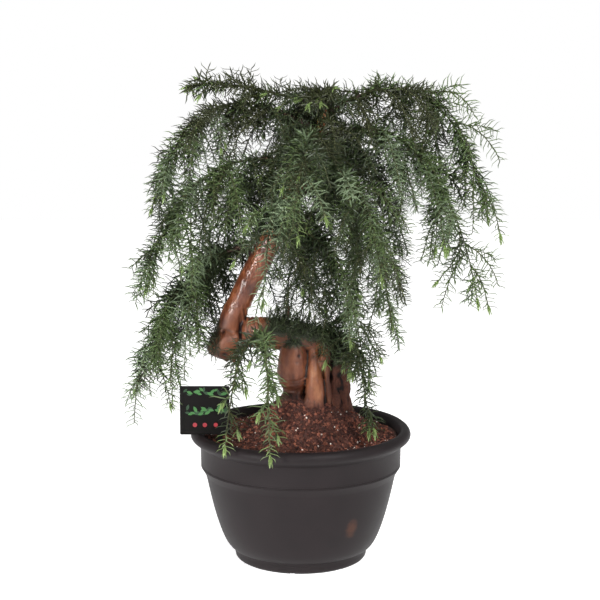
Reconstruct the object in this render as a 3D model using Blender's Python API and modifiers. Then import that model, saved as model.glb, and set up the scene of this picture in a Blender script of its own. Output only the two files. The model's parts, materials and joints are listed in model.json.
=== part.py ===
"""Weeping araucaria bonsai in its round plastic pot.

The trunk stands as a thick stump, runs flat to the left as an arm, turns at a
knob and slants up to the right.  Arching boughs leave the slanted trunk, and
each carries one mass of foliage: a stem with drooping shoots on both sides,
every shoot a slim three-sided core that its needles stand out of.

Metres, +Z up.  The origin is the middle of the pot's flat underside.
+X is the viewer's right, -Y the front.
"""
import math
import random
from collections import namedtuple

import bmesh
import bpy
from mathutils import Matrix, Vector
from mathutils.bvhtree import BVHTree

GAP = 0.0003                # clearance between pieces that touch
SEED = 11

# Pot: a turned bowl with a rolled lip, a collar and a low foot
RIM_RADIUS = 0.165
LIP_Z = 0.1875
LIP_TOP_Z = 0.2000
LIP_TOP_RADIUS = 0.1560
COLLAR_RADIUS = 0.1500
COLLAR_TOP_Z = 0.1750
COLLAR_FOOT_Z = 0.1420
STEP_RADIUS = 0.1425
STEP_Z = 0.1300
GROOVE_Z = 0.1120
GROOVE_DEPTH = 0.0006
FOOT_RADIUS = 0.1020
FOOT_TOP_Z = 0.0175
BASE_RADIUS = 0.0940
BASE_BEVEL_Z = 0.0060
BOWL_CURVE = 0.55           # exponent of the bowl's widening with height
BOWL_RINGS = 4
BOWL_RING_CURVE = 1.5       # exponent that sets the rings closer where the bowl turns in
LIP_CURL = 0.45             # how far in the lip's inner edge curls, as a share of its half width
LIP_CURL_DROP = 0.0012
COLLAR_DRAFT = 0.0015       # how much narrower the collar is at its foot
GROOVE_HALF = 0.0015        # half the groove's height
FOOT_ROUND = 0.0020         # the foot ring's rounded upper edge
FOOT_DRAFT = 0.0007         # the foot ring's slope below that
BASE_BEVEL = 0.0030
BASE_BEVEL_SHARE = 0.3      # height of the bevel's lower edge as a share of its upper edge
WAIST_Z = 0.0600            # middle corner of the wall's inner side
WALL = 0.0030
FLOOR = 0.0040
POT_STEPS = 28
DRAIN_RADIUS = 0.0060
DRAIN_RING = 0.0520
DRAINS = 4
DRAIN_SIDES = 12
CHANNELS = 8
CHANNEL_WIDTH = 0.0070
CHANNEL_HEIGHT = 0.0016
CHANNEL_INNER = 0.0720
CHANNEL_TURN = math.radians(262.5)

# Soil: a plug of bark mix, banked up behind the stump
SOIL_EDGE_Z = 0.1850
SOIL_RISE = 0.0420
MOUND_X = 0.0000
MOUND_Y = 0.0300
MOUND_REACH = 0.1400
SOIL_RINGS = 3

# Label: a square card with a stake, stuck in the soil inside the rim
LABEL_SIDE = 0.0710
LABEL_CENTRE_X = -0.1390
LABEL_Y = -0.0500
LABEL_FOOT_Z = 0.2018
LABEL_THICKNESS = 0.0014
STAKE_X = -0.1190
STAKE_WIDTH = 0.0080
STAKE_FOOT_Z = 0.1500

# Trunk
STUMP_FOOT = Vector((0.0280, 0.0, 0.1940))
STUMP_TOP = Vector((0.0240, 0.0, 0.3430))
STUMP_RADII = (0.0580, 0.0490, 0.0475, 0.0500, 0.0530, 0.0500, 0.0360)
STUMP_DEPTH = 0.84          # front-to-back width as a share of the side-to-side width
STUMP_LOBES = 5
STUMP_LOBE_DEPTH = 0.09
STUMP_LOBE_START = 0.6      # radians from +X to the first lobe
STUMP_LOBE_TWIST = 1.1      # radians that the lobes turn from foot to top
STUMP_LOBE_FLARE = 1.3      # how much deeper the lobes are at the roots
STUMP_SIDES = 20
ARM_START = Vector((0.0040, 0.0, 0.3370))
ARM_HANDLES = (Vector((-0.0400, 0.0, 0.3470)), Vector((-0.0900, 0.0, 0.3460)))
ARM_END = Vector((-0.1370, 0.0, 0.3250))
ARM_RADII = (0.0240, 0.0235, 0.0220, 0.0212, 0.0222, 0.0262, 0.0262, 0.0090)
ARM_SIDES = 12
UPPER_FOOT = Vector((-0.1110, 0.0, 0.3350))
UPPER_HANDLES = (Vector((-0.0950, 0.0, 0.4100)), Vector((0.0050, 0.0, 0.5400)))
UPPER_TOP = Vector((0.0380, 0.0, 0.6860))
UPPER_FOOT_RADIUS = 0.0182
UPPER_TOP_RADIUS = 0.0036
UPPER_TAPER = 2.6           # exponent: thick for most of its length, then quickly thinner
UPPER_RINGS = 13
UPPER_SIDES = 12

# Boughs and shoots
CREST_SHARE = 0.74          # how far out an arch's crest handle lies
BOUGH_FOOT_RADIUS = 0.0072
BOUGH_END_RADIUS = 0.0030
BOUGH_SHARE = 0.72          # widest a bough's foot may be, as a share of the trunk there
BOUGH_POINTS = 6
STEM_RADIUS = 0.0028
SHOOT_RADIUS = 0.0019
TIP_SHARE = 0.45            # radius at a shoot's tip as a share of its foot
STATION = 0.0178            # distance from one whorl of needles to the next
NEEDLE = 0.0200
NEEDLE_LEAN = 0.55          # how far a needle leans towards the shoot's tip
BUD = 0.0080                # closed bud at the end of every shoot
ROLL = math.radians(65)     # how far round the stem a side shoot may leave it
SHOOT_CLEARANCE = 0.0008    # room tested round every shoot
SHRINKS = (1.0, 0.8, 0.6)   # lengths tried for a side shoot, the longest first
START_STEP = 0.0005         # share of a course by which a stem's foot is moved out
LAST_START = 0.6            # where the search for a clear foot ends
LENGTH_SAMPLES = 24         # straight steps that a course's length is measured with

# A side shoot's aim, as shares of its length
SIDE_AHEAD = 0.60           # along the stem
SIDE_SWAY = 0.35            # more or less of that
SIDE_OUT = 0.75             # away from the stem
SIDE_RISE = 0.30            # upward, where the foliage doesn't hang
SIDE_MIDDLE = 0.50          # where its middle handle lies
SIDE_REACH = 0.85           # where its tip lies
SIDE_PULL = 0.20            # how much hanging draws the tip in
SIDE_DROOP = 0.62           # how far hanging lowers the tip
SIDE_SHORTEST = 0.62        # length of the first side shoot, as a share of the longest
SIDE_LAST = 0.93            # place of the last side shoot on the stem

Limb = namedtuple("Limb", "name place heading reach lift fall bare spread pairs hang")

# place: on the slanted trunk, 0 foot to 1 top; heading: degrees, 0 right, 90 back
# reach: level distance to the tip; lift, fall: crest and tip above the foot
# bare: share of the path that is bough; spread: longest side shoot; hang: its droop
LIMBS = (
    Limb("top_left", 0.975, 183, 0.197, 0.044, 0.028, 0.16, 0.060, 3, -0.10),
    Limb("top_right", 0.945, 4, 0.245, 0.132, -0.150, 0.14, 0.130, 4, 0.80),
    Limb("top_back", 0.920, 96, 0.190, 0.085, -0.110, 0.14, 0.120, 4, 0.75),
    Limb("upper_left", 0.895, 172, 0.250, 0.112, -0.118, 0.15, 0.125, 4, 0.80),
    Limb("upper_right", 0.870, 359, 0.240, 0.080, -0.240, 0.15, 0.130, 4, 0.80),
    Limb("upper_front", 0.840, 262, 0.150, 0.070, -0.110, 0.16, 0.110, 3, 0.70),
    Limb("upper_back_right", 0.805, 48, 0.200, 0.065, -0.150, 0.16, 0.120, 3, 0.80),
    Limb("middle_left", 0.770, 192, 0.236, 0.066, -0.172, 0.20, 0.130, 4, 0.85),
    Limb("middle_front", 0.735, 312, 0.170, 0.060, -0.130, 0.20, 0.115, 3, 0.75),
    Limb("middle_back", 0.700, 134, 0.200, 0.050, -0.170, 0.20, 0.115, 3, 0.80),
    Limb("middle_right", 0.665, 14, 0.155, 0.070, -0.200, 0.20, 0.130, 4, 0.85),
    Limb("lower_front", 0.625, 240, 0.130, 0.045, -0.120, 0.22, 0.090, 3, 0.60),
    Limb("lower_back", 0.585, 75, 0.160, 0.040, -0.170, 0.20, 0.120, 4, 0.80),
    Limb("lower_right", 0.540, 350, 0.130, 0.020, -0.190, 0.25, 0.115, 3, 0.80),
    Limb("lower_left", 0.490, 183, 0.202, -0.010, -0.222, 0.20, 0.140, 4, 0.90),
    Limb("lower_back_left", 0.430, 150, 0.150, 0.030, -0.150, 0.20, 0.110, 3, 0.80),
)

Spur = namedtuple("Spur", "name foot heading reach lift fall spread pairs hang")

# Foliage that stands straight on the old wood, with no bough of its own
SPURS = (
    Spur("apex", Vector((0.0378, 0.0, 0.6850)), 250, 0.042, 0.026, 0.006, 0.070, 3, 0.2),
    Spur("arm_left", Vector((-0.0700, -0.0150, 0.3440)), 262, 0.140, 0.020, -0.155, 0.055, 3, 0.8),
    Spur("arm_right", Vector((-0.0300, -0.0150, 0.3440)), 267, 0.172, 0.024, -0.160, 0.070, 3, 0.8),
    Spur("stump_right", Vector((0.0600, -0.0200, 0.3330)), 302, 0.072, 0.040, -0.122, 0.055, 3, 0.8),
    Spur("stump_top", Vector((0.0300, 0.0, 0.3380)), 20, 0.035, 0.030, 0.026, 0.035, 1, 0.0),
)


# ---------------------------------------------------------------- helpers

def linear(channel):
    """One sRGB channel, 0 to 1, as linear light."""
    if channel <= 0.04045:
        return channel / 12.92
    return ((channel + 0.055) / 1.055) ** 2.4


def make_material(name, colour, roughness, metallic=0.0):
    """A Principled material with a base colour written as an sRGB hex string."""
    material = bpy.data.materials.new(name)
    material.use_nodes = True
    shader = material.node_tree.nodes["Principled BSDF"]
    channels = [int(colour[i:i + 2], 16) / 255 for i in (0, 2, 4)]
    shader.inputs["Base Color"].default_value = (*map(linear, channels), 1.0)
    shader.inputs["Roughness"].default_value = roughness
    shader.inputs["Metallic"].default_value = metallic
    return material


def clear_scene():
    """Start from nothing."""
    for thing in list(bpy.data.objects):
        bpy.data.objects.remove(thing, do_unlink=True)


def make_collection(name):
    collection = bpy.data.collections.new(name)
    bpy.context.scene.collection.children.link(collection)
    return collection


def add_object(name, data, collection, material=None):
    """Put a mesh or curve in the scene as one named object."""
    thing = bpy.data.objects.new(name, data)
    collection.objects.link(thing)
    if material:
        data.materials.append(material)
    return thing


def mesh_from(bm, name):
    """Finish a bmesh as a mesh of triangles with its faces outward."""
    bmesh.ops.recalc_face_normals(bm, faces=bm.faces)
    bmesh.ops.triangulate(bm, faces=bm.faces, quad_method="FIXED")
    mesh = bpy.data.meshes.new(name)
    bm.to_mesh(mesh)
    bm.free()
    return mesh


def bezier(points, t):
    """A point on the Bezier curve of any number of control points."""
    while len(points) > 1:
        points = [a.lerp(b, t) for a, b in zip(points, points[1:])]
    return points[0]


def frames_along(points):
    """Frames whose Z axis follows the points and which never twist round it."""
    ahead = [(b - a).normalized() for a, b in zip(points, points[1:])]
    tangents = [ahead[0]]
    tangents += [(a + b).normalized() for a, b in zip(ahead, ahead[1:])]
    tangents.append(ahead[-1])
    turn = Vector((0, 0, 1)).rotation_difference(tangents[0])
    frames = []
    for index, point in enumerate(points):
        if index:
            turn = tangents[index - 1].rotation_difference(tangents[index]) @ turn
        frames.append(Matrix.Translation(point) @ turn.to_matrix().to_4x4())
    return frames


def grow_tube(frames, radius_at, sides):
    """Extrude a ring of corners from frame to frame and close both ends.

    radius_at(ring, angle) gives each corner's distance from the axis.  The
    vertex layer "ring" remembers which frame a corner belongs to.
    """
    bm = bmesh.new()
    bmesh.ops.create_circle(bm, cap_ends=True, segments=sides, radius=1.0)
    angle_of = bm.verts.layers.float.new("angle")
    ring_of = bm.verts.layers.int.new("ring")
    for number, corner in enumerate(bm.verts):
        corner[angle_of] = math.tau * number / sides
    ring, edges = list(bm.verts), list(bm.edges)
    for number, frame in enumerate(frames):
        if number:
            grown = bmesh.ops.extrude_edge_only(bm, edges=edges)["geom"]
            ring = [part for part in grown if isinstance(part, bmesh.types.BMVert)]
            edges = [part for part in grown if isinstance(part, bmesh.types.BMEdge)]
        for corner in ring:
            angle = corner[angle_of]
            radius = radius_at(number, angle)
            corner.co = frame @ Vector((radius * math.cos(angle), radius * math.sin(angle), 0))
            corner[ring_of] = number
    bmesh.ops.contextual_create(bm, geom=edges)
    bmesh.ops.recalc_face_normals(bm, faces=bm.faces)
    return bm


def tree_of(thing):
    """A search tree of an object's evaluated faces."""
    depsgraph = bpy.context.evaluated_depsgraph_get()
    return BVHTree.FromObject(thing, depsgraph)


def add_cutter(name, data):
    """A hidden body that is only there to be subtracted."""
    cutter = add_object(name, data, bpy.data.collections["cutters"])
    cutter.hide_render = True
    cutter.display_type = "WIRE"
    return cutter


def subtract(thing, cutter):
    """Cut one body out of another with a live Boolean."""
    cut = thing.modifiers.new("clear of " + cutter.name, "BOOLEAN")
    cut.operation = "DIFFERENCE"
    cut.object = cutter


def turned(name, profile, steps, collection, material):
    """Turn a closed profile of (radius, height) points round the Z axis."""
    bm = bmesh.new()
    corners = [bm.verts.new((radius, 0, height)) for radius, height in profile]
    for a, b in zip(corners, corners[1:]):
        bm.edges.new((a, b))
    mesh = bpy.data.meshes.new(name)
    bm.to_mesh(mesh)
    bm.free()
    thing = add_object(name, mesh, collection, material)
    screw = thing.modifiers.new("turn", "SCREW")
    screw.steps = steps
    screw.render_steps = steps
    screw.use_merge_vertices = True
    screw.merge_threshold = 0.00001
    return thing


# ---------------------------------------------------------------- pot, soil, label

def bowl_radius(height):
    """Outer radius of the bowl between its foot and the step under the collar."""
    share = (height - FOOT_TOP_Z) / (STEP_Z - FOOT_TOP_Z)
    return FOOT_RADIUS + (STEP_RADIUS - FOOT_RADIUS) * max(share, 0.0) ** BOWL_CURVE


def inner_wall():
    """Corners (height, radius) of the wall's inner side, from the floor to the lip."""
    wall = [(FLOOR, BASE_RADIUS - WALL)]
    wall += [(height, bowl_radius(height) - WALL) for height in (FOOT_TOP_Z, WAIST_Z, STEP_Z)]
    wall.append((COLLAR_FOOT_Z, COLLAR_RADIUS - 1.5 * WALL))
    wall.append((LIP_TOP_Z - 2 * WALL, COLLAR_RADIUS))
    return wall


def inner_radius(height):
    """Inner radius of the wall, straight from corner to corner."""
    wall = inner_wall()
    for (low, foot), (high, head) in zip(wall, wall[1:]):
        if height <= high:
            return foot + (head - foot) * (height - low) / (high - low)
    return wall[-1][1]


def pot_profile():
    """The wall's closed outline, from the axis over the lip and back to the axis."""
    lip_half = RIM_RADIUS - LIP_TOP_RADIUS
    outline = [(LIP_TOP_RADIUS - lip_half * LIP_CURL, LIP_TOP_Z - LIP_CURL_DROP)]
    for turn in (90, 45, 0, -45):
        angle = math.radians(turn)
        tall = LIP_TOP_Z - LIP_Z if turn > 0 else LIP_Z - COLLAR_TOP_Z
        outline.append((LIP_TOP_RADIUS + lip_half * math.cos(angle), LIP_Z + tall * math.sin(angle)))
    outline.append((COLLAR_RADIUS, COLLAR_TOP_Z))
    outline.append((COLLAR_RADIUS - COLLAR_DRAFT, COLLAR_FOOT_Z))
    outline.append((STEP_RADIUS, STEP_Z))
    for height in (GROOVE_Z + GROOVE_HALF, GROOVE_Z, GROOVE_Z - GROOVE_HALF):
        dent = GROOVE_DEPTH if height == GROOVE_Z else 0.0
        outline.append((bowl_radius(height) - dent, height))
    for ring in range(1, BOWL_RINGS):
        share = (1 - ring / BOWL_RINGS) ** BOWL_RING_CURVE
        height = FOOT_TOP_Z + (GROOVE_Z - GROOVE_HALF - FOOT_TOP_Z) * share
        outline.append((bowl_radius(height), height))
    outline.append((FOOT_RADIUS, FOOT_TOP_Z))
    outline.append((FOOT_RADIUS - FOOT_ROUND, FOOT_TOP_Z - FOOT_ROUND))
    outline.append((FOOT_RADIUS - FOOT_ROUND - FOOT_DRAFT, BASE_BEVEL_Z))
    outline.append((BASE_RADIUS + BASE_BEVEL, BASE_BEVEL_Z * BASE_BEVEL_SHARE))
    outline.append((BASE_RADIUS, 0.0))
    outline.append((0.0, 0.0))
    outline.append((0.0, FLOOR))
    outline += [(radius, height) for height, radius in inner_wall()]
    outline.append(outline[0])
    return outline


def make_pot(collection):
    """The pot, with drain holes off its centre and water channels under its foot."""
    pot = turned("pot", pot_profile(), POT_STEPS, collection,
                 make_material("pot moulded plastic", "3b383a", 0.55))
    bm = bmesh.new()
    for number in range(DRAINS):
        angle = 2 * math.pi * (number + 0.5) / DRAINS
        place = Vector((DRAIN_RING * math.cos(angle), DRAIN_RING * math.sin(angle), 0))
        bmesh.ops.create_cone(bm, cap_ends=True, segments=DRAIN_SIDES, radius1=DRAIN_RADIUS,
                              radius2=DRAIN_RADIUS, depth=FLOOR * 4,
                              matrix=Matrix.Translation(place))
    subtract(pot, add_cutter("drain_cutter", mesh_from(bm, "drain_cutter")))
    bm = bmesh.new()
    length = FOOT_RADIUS - CHANNEL_INNER + 0.01
    for number in range(CHANNELS):
        turn = Matrix.Rotation(CHANNEL_TURN + 2 * math.pi * number / CHANNELS, 4, "Z")
        shift = Matrix.Translation((CHANNEL_INNER + length / 2, 0, 0))
        size = Matrix.Diagonal((length, CHANNEL_WIDTH, CHANNEL_HEIGHT * 2, 1))
        bmesh.ops.create_cube(bm, size=1.0, matrix=turn @ shift @ size)
    subtract(pot, add_cutter("channel_cutter", mesh_from(bm, "channel_cutter")))
    return pot


def soil_height(x, y):
    """Height of the soil's surface: level at the wall, banked up behind the stump."""
    near = max(0.0, 1 - math.hypot(x - MOUND_X, y - MOUND_Y) / MOUND_REACH)
    edge = math.hypot(x, y) / COLLAR_RADIUS
    return SOIL_EDGE_Z + SOIL_RISE * near * near * (3 - 2 * near) * (1 - edge ** 4)


def make_soil(collection, carriers):
    """The soil plug; its surface follows soil_height and keeps clear of its carriers."""
    rim = inner_radius(SOIL_EDGE_Z) - GAP
    outline = [(rim * (1 - ring / SOIL_RINGS), SOIL_EDGE_Z) for ring in range(SOIL_RINGS, 0, -1)]
    outline.append((rim, SOIL_EDGE_Z))
    for height, radius in reversed(inner_wall()[:-1]):
        outline.append((radius - GAP, height + GAP))
    outline.append((0.0, FLOOR + GAP))
    soil = turned("soil", outline, POT_STEPS, collection, make_material("bark soil", "5a2e22", 0.95))
    depsgraph = bpy.context.evaluated_depsgraph_get()
    solid = bpy.data.meshes.new_from_object(soil.evaluated_get(depsgraph))
    soil.modifiers.clear()
    material = soil.data.materials[0]
    bm = bmesh.new()
    bm.from_mesh(solid)
    bpy.data.meshes.remove(solid)
    for corner in bm.verts:
        if corner.co.z > SOIL_EDGE_Z - GAP:
            corner.co.z = soil_height(corner.co.x, corner.co.y)
    soil.data = mesh_from(bm, "soil")
    soil.data.materials.append(material)
    for carrier in carriers:
        subtract(soil, carrier)
    return soil


def label_outline(grow):
    """Corners of card and stake as seen from the front."""
    half = LABEL_SIDE / 2 + grow
    stake = STAKE_WIDTH / 2 + grow
    left, right = LABEL_CENTRE_X - half, LABEL_CENTRE_X + half
    foot, top = LABEL_FOOT_Z - grow, LABEL_FOOT_Z + LABEL_SIDE + grow
    tip = STAKE_FOOT_Z - grow
    return [(left, foot), (STAKE_X - stake, foot), (STAKE_X - stake, tip + stake),
            (STAKE_X, tip), (STAKE_X + stake, tip + stake), (STAKE_X + stake, foot),
            (right, foot), (right, top), (left, top)]


def label_curve(name, grow):
    """The label as a flat filled outline with a thickness."""
    curve = bpy.data.curves.new(name, "CURVE")
    curve.dimensions = "2D"
    curve.fill_mode = "BOTH"
    curve.extrude = LABEL_THICKNESS / 2 + grow
    corners = label_outline(grow)
    spline = curve.splines.new("POLY")
    spline.points.add(len(corners) - 1)
    for point, (x, z) in zip(spline.points, corners):
        point.co = (x, z, 0, 1)
    spline.use_cyclic_u = True
    return curve


def upright(thing):
    """Stand a flat outline up so that it faces the front."""
    thing.location = (0, LABEL_Y, 0)
    thing.rotation_euler = (math.radians(90), 0, 0)
    return thing


def make_label(collection):
    material = make_material("label card", "17130f", 0.45)
    return upright(add_object("label", label_curve("label", 0.0), collection, material))


def label_cutter():
    """The label grown by the gap, as a mesh that can cut the soil."""
    guide = upright(add_object("label_guide", label_curve("label_guide", GAP),
                               bpy.data.collections["cutters"]))
    bpy.context.view_layer.update()
    depsgraph = bpy.context.evaluated_depsgraph_get()
    mesh = bpy.data.meshes.new_from_object(guide.evaluated_get(depsgraph))
    bm = bmesh.new()
    bm.from_mesh(mesh)
    bmesh.ops.remove_doubles(bm, verts=bm.verts, dist=0.00001)
    bm.transform(guide.matrix_world)
    bpy.data.objects.remove(guide)
    bpy.data.meshes.remove(mesh)
    return add_cutter("label_cutter", mesh_from(bm, "label_cutter"))


# ---------------------------------------------------------------- trunk

def stump_mesh(name, grow):
    """The fluted stump on a level cut, flared at its roots; grow widens it all round."""
    last = len(STUMP_RADII) - 1
    points = [STUMP_FOOT.lerp(STUMP_TOP, ring / last) for ring in range(last + 1)]
    points[0].z -= grow
    points[-1].z += grow

    def radius_at(ring, angle):
        height = ring / last
        flute = math.cos(STUMP_LOBES * angle + STUMP_LOBE_START + STUMP_LOBE_TWIST * height)
        flare = STUMP_LOBE_DEPTH * (1 + STUMP_LOBE_FLARE * (1 - height) ** 3)
        oval = math.hypot(math.cos(angle), STUMP_DEPTH * math.sin(angle))
        return STUMP_RADII[ring] * oval * (1 + flare * flute) + grow

    frames = [Matrix.Translation(point) for point in points]
    return mesh_from(grow_tube(frames, radius_at, STUMP_SIDES), name)


def arm_mesh(name, grow):
    """The level arm with the knob at its left end."""
    last = len(ARM_RADII) - 1
    course = [ARM_START, *ARM_HANDLES, ARM_END]
    points = [bezier(course, ring / last) for ring in range(last + 1)]
    points[-1].x -= grow
    return mesh_from(grow_tube(frames_along(points), lambda ring, angle: ARM_RADII[ring] + grow,
                               ARM_SIDES), name)


def upper_point(place):
    """A point on the slanted trunk's axis, 0 at its foot and 1 at its top."""
    return bezier([UPPER_FOOT, *UPPER_HANDLES, UPPER_TOP], place)


def upper_radius(place):
    share = 1 - place ** UPPER_TAPER
    return UPPER_TOP_RADIUS + (UPPER_FOOT_RADIUS - UPPER_TOP_RADIUS) * share


def upper_mesh(name, grow):
    """The slanted trunk, one taper from the knob to the top."""
    last = UPPER_RINGS - 1
    points = [upper_point(ring / last) for ring in range(UPPER_RINGS)]
    points[-1].z += grow
    return mesh_from(grow_tube(frames_along(points),
                               lambda ring, angle: upper_radius(ring / last) + grow,
                               UPPER_SIDES), name)


def make_trunk(collection):
    """Stump, arm and slanted trunk, each cut clear of the piece that carries it."""
    bark = make_material("coppery bark", "8a4a2e", 0.6)
    stump = add_object("trunk_stump", stump_mesh("trunk_stump", 0.0), collection, bark)
    arm = add_object("trunk_arm", arm_mesh("trunk_arm", 0.0), collection, bark)
    upper = add_object("trunk_upper", upper_mesh("trunk_upper", 0.0), collection, bark)
    stump_cutter = add_cutter("stump_cutter", stump_mesh("stump_cutter", GAP))
    subtract(arm, stump_cutter)
    subtract(upper, add_cutter("arm_cutter", arm_mesh("arm_cutter", GAP)))
    return [stump, arm, upper], stump_cutter


# ---------------------------------------------------------------- boughs and foliage

def arch(foot, heading, reach, lift, fall):
    """Control points of an arching path: out and up, over its crest, and down."""
    out = Vector((math.cos(math.radians(heading)), math.sin(math.radians(heading)), 0))
    crest = foot + out * reach * CREST_SHARE + Vector((0, 0, lift))
    tip = foot + out * reach + Vector((0, 0, fall))
    return [foot, crest, tip]


def stretch(course, start, end, spacing):
    """Points along a course between two of its places, about one spacing apart."""
    samples = [bezier(course, start + (end - start) * i / LENGTH_SAMPLES)
               for i in range(LENGTH_SAMPLES + 1)]
    length = sum((b - a).length for a, b in zip(samples, samples[1:]))
    count = max(3, round(length / spacing))
    return [bezier(course, start + (end - start) * i / count) for i in range(count + 1)]


def make_bough(limb, collection, bark, trunk_cutter):
    """One tapering limb, from the trunk's surface to where its foliage begins."""
    course = limb_course(limb)
    curve = bpy.data.curves.new("bough_" + limb.name, "CURVE")
    curve.dimensions = "3D"
    curve.bevel_depth = 1.0
    curve.bevel_resolution = 1
    curve.use_fill_caps = True
    spline = curve.splines.new("POLY")
    spline.points.add(BOUGH_POINTS - 1)
    foot_radius = min(BOUGH_FOOT_RADIUS, upper_radius(limb.place) * BOUGH_SHARE)
    for number, point in enumerate(spline.points):
        share = number / (BOUGH_POINTS - 1)
        point.co = (*bezier(course, limb.bare * share), 1)
        point.radius = foot_radius + (BOUGH_END_RADIUS - foot_radius) * share
    guide = add_object("guide", curve, collection)
    depsgraph = bpy.context.evaluated_depsgraph_get()
    tube = bpy.data.meshes.new_from_object(guide.evaluated_get(depsgraph))
    bpy.data.objects.remove(guide)
    bm = bmesh.new()
    bm.from_mesh(tube)
    bpy.data.meshes.remove(tube)
    bmesh.ops.remove_doubles(bm, verts=bm.verts, dist=0.00001)
    bough = add_object("bough_" + limb.name, mesh_from(bm, "bough_" + limb.name), collection, bark)
    subtract(bough, trunk_cutter)
    return bough


def limb_course(limb):
    return arch(upper_point(limb.place), limb.heading, limb.reach, limb.lift, limb.fall)


def make_shoot(points, radius, seed, bare_rings=1, room=0.0):
    """A slim three-sided core; two faces of each ring are poked out into needles.

    room widens the core and lengthens the needles, for the test of free space.
    """
    dice = random.Random(seed)
    spin = Matrix.Rotation(dice.uniform(0, math.tau), 4, "Z")
    frames = [frame @ spin for frame in frames_along(points)]
    last = len(points) - 1

    def radius_at(ring, angle):
        return radius * (1 - (1 - TIP_SHARE) * ring / last) + (room if ring else 0.0)

    bm = grow_tube(frames, radius_at, 3)
    ring_of = bm.verts.layers.int["ring"]
    for number, face in enumerate([face for face in bm.faces if len(face.verts) == 4]):
        ring = min(corner[ring_of] for corner in face.verts)
        if ring < bare_rings or number % 3 == ring % 3:
            continue
        length = (NEEDLE * dice.uniform(0.85, 1.1) + room) * (1 - 0.35 * (ring / last) ** 2)
        outward = face.normal.copy()
        forward = frames[ring].to_3x3() @ Vector((0, 0, 1))
        aim = (outward + forward * NEEDLE_LEAN).normalized()
        bmesh.ops.poke(bm, faces=[face])["verts"][0].co += aim * length
    cap = [face for face in bm.faces if all(corner[ring_of] == last for corner in face.verts)]
    bud = bmesh.ops.poke(bm, faces=cap)["verts"][0]
    bud.co += (frames[-1].to_3x3() @ Vector((0, 0, 1))) * (BUD + room)
    return bm


def side_course(course, place, side, limb, length, sway, roll):
    """Control points of a side shoot: out from the stem, forward and down.

    sway, -1 to 1, turns the shoot forward or back and changes its droop a little.
    roll turns the side it leaves from round the stem.
    """
    foot = bezier(course, place)
    ahead = (bezier(course, min(place + 0.02, 1.0)) - bezier(course, place - 0.02)).normalized()
    heading = math.radians(limb.heading)
    across = Matrix.Rotation(roll, 3, ahead) @ Vector((math.sin(heading), -math.cos(heading), 0))
    aim = ahead * (SIDE_AHEAD + SIDE_SWAY * sway) + across * side * SIDE_OUT
    aim.z += SIDE_RISE * (1 - limb.hang)
    aim.normalize()
    droop = limb.hang * (1 + 0.2 * sway) * length
    middle = foot + aim * length * SIDE_MIDDLE
    tip = foot + aim * length * (SIDE_REACH - SIDE_PULL * max(limb.hang, 0))
    tip.z -= droop * SIDE_DROOP
    return [foot, middle, tip]


def is_clear(bm, trees):
    """True where a body touches none of the search trees."""
    body = BVHTree.FromBMesh(bm)
    return not any(body.overlap(tree) for tree in trees)


def stem_feet(course, place, seed):
    """Corners, middles of the edges and centre of a stem's foot, spun as make_shoot spins it."""
    frame = frames_along(stretch(course, place, 1.0, STATION))[0]
    spin = random.Random(seed).uniform(0, math.tau)
    feet = [frame.translation]
    for number in range(6):
        radius = STEM_RADIUS * (0.5 if number % 2 else 1.0)
        angle = spin + math.tau * number / 6
        feet.append(frame @ Vector((radius * math.cos(angle), radius * math.sin(angle), 0)))
    return feet


def gap_to_bough(limb, course, feet):
    """How far a stem's foot stands off the flat end of its bough."""
    tip = bezier(course, limb.bare)
    before = bezier(course, limb.bare * (1 - 1 / (BOUGH_POINTS - 1)))
    ahead = (tip - before).normalized()
    return min((foot - tip).dot(ahead) for foot in feet)


def gap_to_wood(feet, trees):
    """How far a stem's foot stands off the nearest old wood, below zero inside it."""
    gaps = []
    for foot in feet:
        for tree in trees:
            spot, normal, _, distance = tree.find_nearest(foot)
            gaps.append(math.copysign(distance, (foot - spot).dot(normal)))
    return min(gaps)


def stem_start(limb, course, seed, wood_trees):
    """The first place on a course where the stem clears what carries it by the gap."""
    place = getattr(limb, "bare", 0.0)
    while place < LAST_START:
        feet = stem_feet(course, place, seed)
        if hasattr(limb, "bare"):
            gap = gap_to_bough(limb, course, feet)
        else:
            gap = gap_to_wood(feet, wood_trees)
        if gap > GAP:
            break
        place += START_STEP
    return place


def make_stem(course, start, seed, trees):
    """A mass's stem, bare from its foot to where its needles clear what is near."""
    points = stretch(course, start, 1.0, STATION)
    for room in (SHOOT_CLEARANCE, GAP, 0.0):
        for bare_rings in range(1, 4):
            trial = make_shoot(points, STEM_RADIUS, seed, bare_rings, room)
            free = is_clear(trial, trees)
            trial.free()
            if free:
                return make_shoot(points, STEM_RADIUS, seed, bare_rings)
    return make_shoot(points, STEM_RADIUS, seed, len(points))


def shoots_of(course, start, limb, trees):
    """The side shoots that fit in the free space, longest in the middle of the stem."""
    dice = random.Random(f"{SEED} shoots {limb.name}")
    shoots = []
    total = limb.pairs * 2
    for number in range(total):
        share = (number + 0.8) / (total + 0.8)
        place = start + (1 - start) * share * SIDE_LAST
        side = 1 if number % 2 else -1
        swell = math.sin(math.pi * min(share * 1.25, 1.0))
        full = limb.spread * (SIDE_SHORTEST + (1 - SIDE_SHORTEST) * swell)
        seed = dice.random()
        sway = dice.uniform(-1, 1)
        roll = dice.uniform(-ROLL, ROLL)
        for shrink in SHRINKS:
            path = side_course(course, place, side, limb, full * shrink, sway, roll)
            points = stretch(path, 0, 1, STATION)
            trial = make_shoot(points, SHOOT_RADIUS, seed, room=SHOOT_CLEARANCE)
            free = is_clear(trial, trees)
            trial.free()
            if free:
                shoots.append(make_shoot(points, SHOOT_RADIUS, seed))
                break
    return shoots


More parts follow.
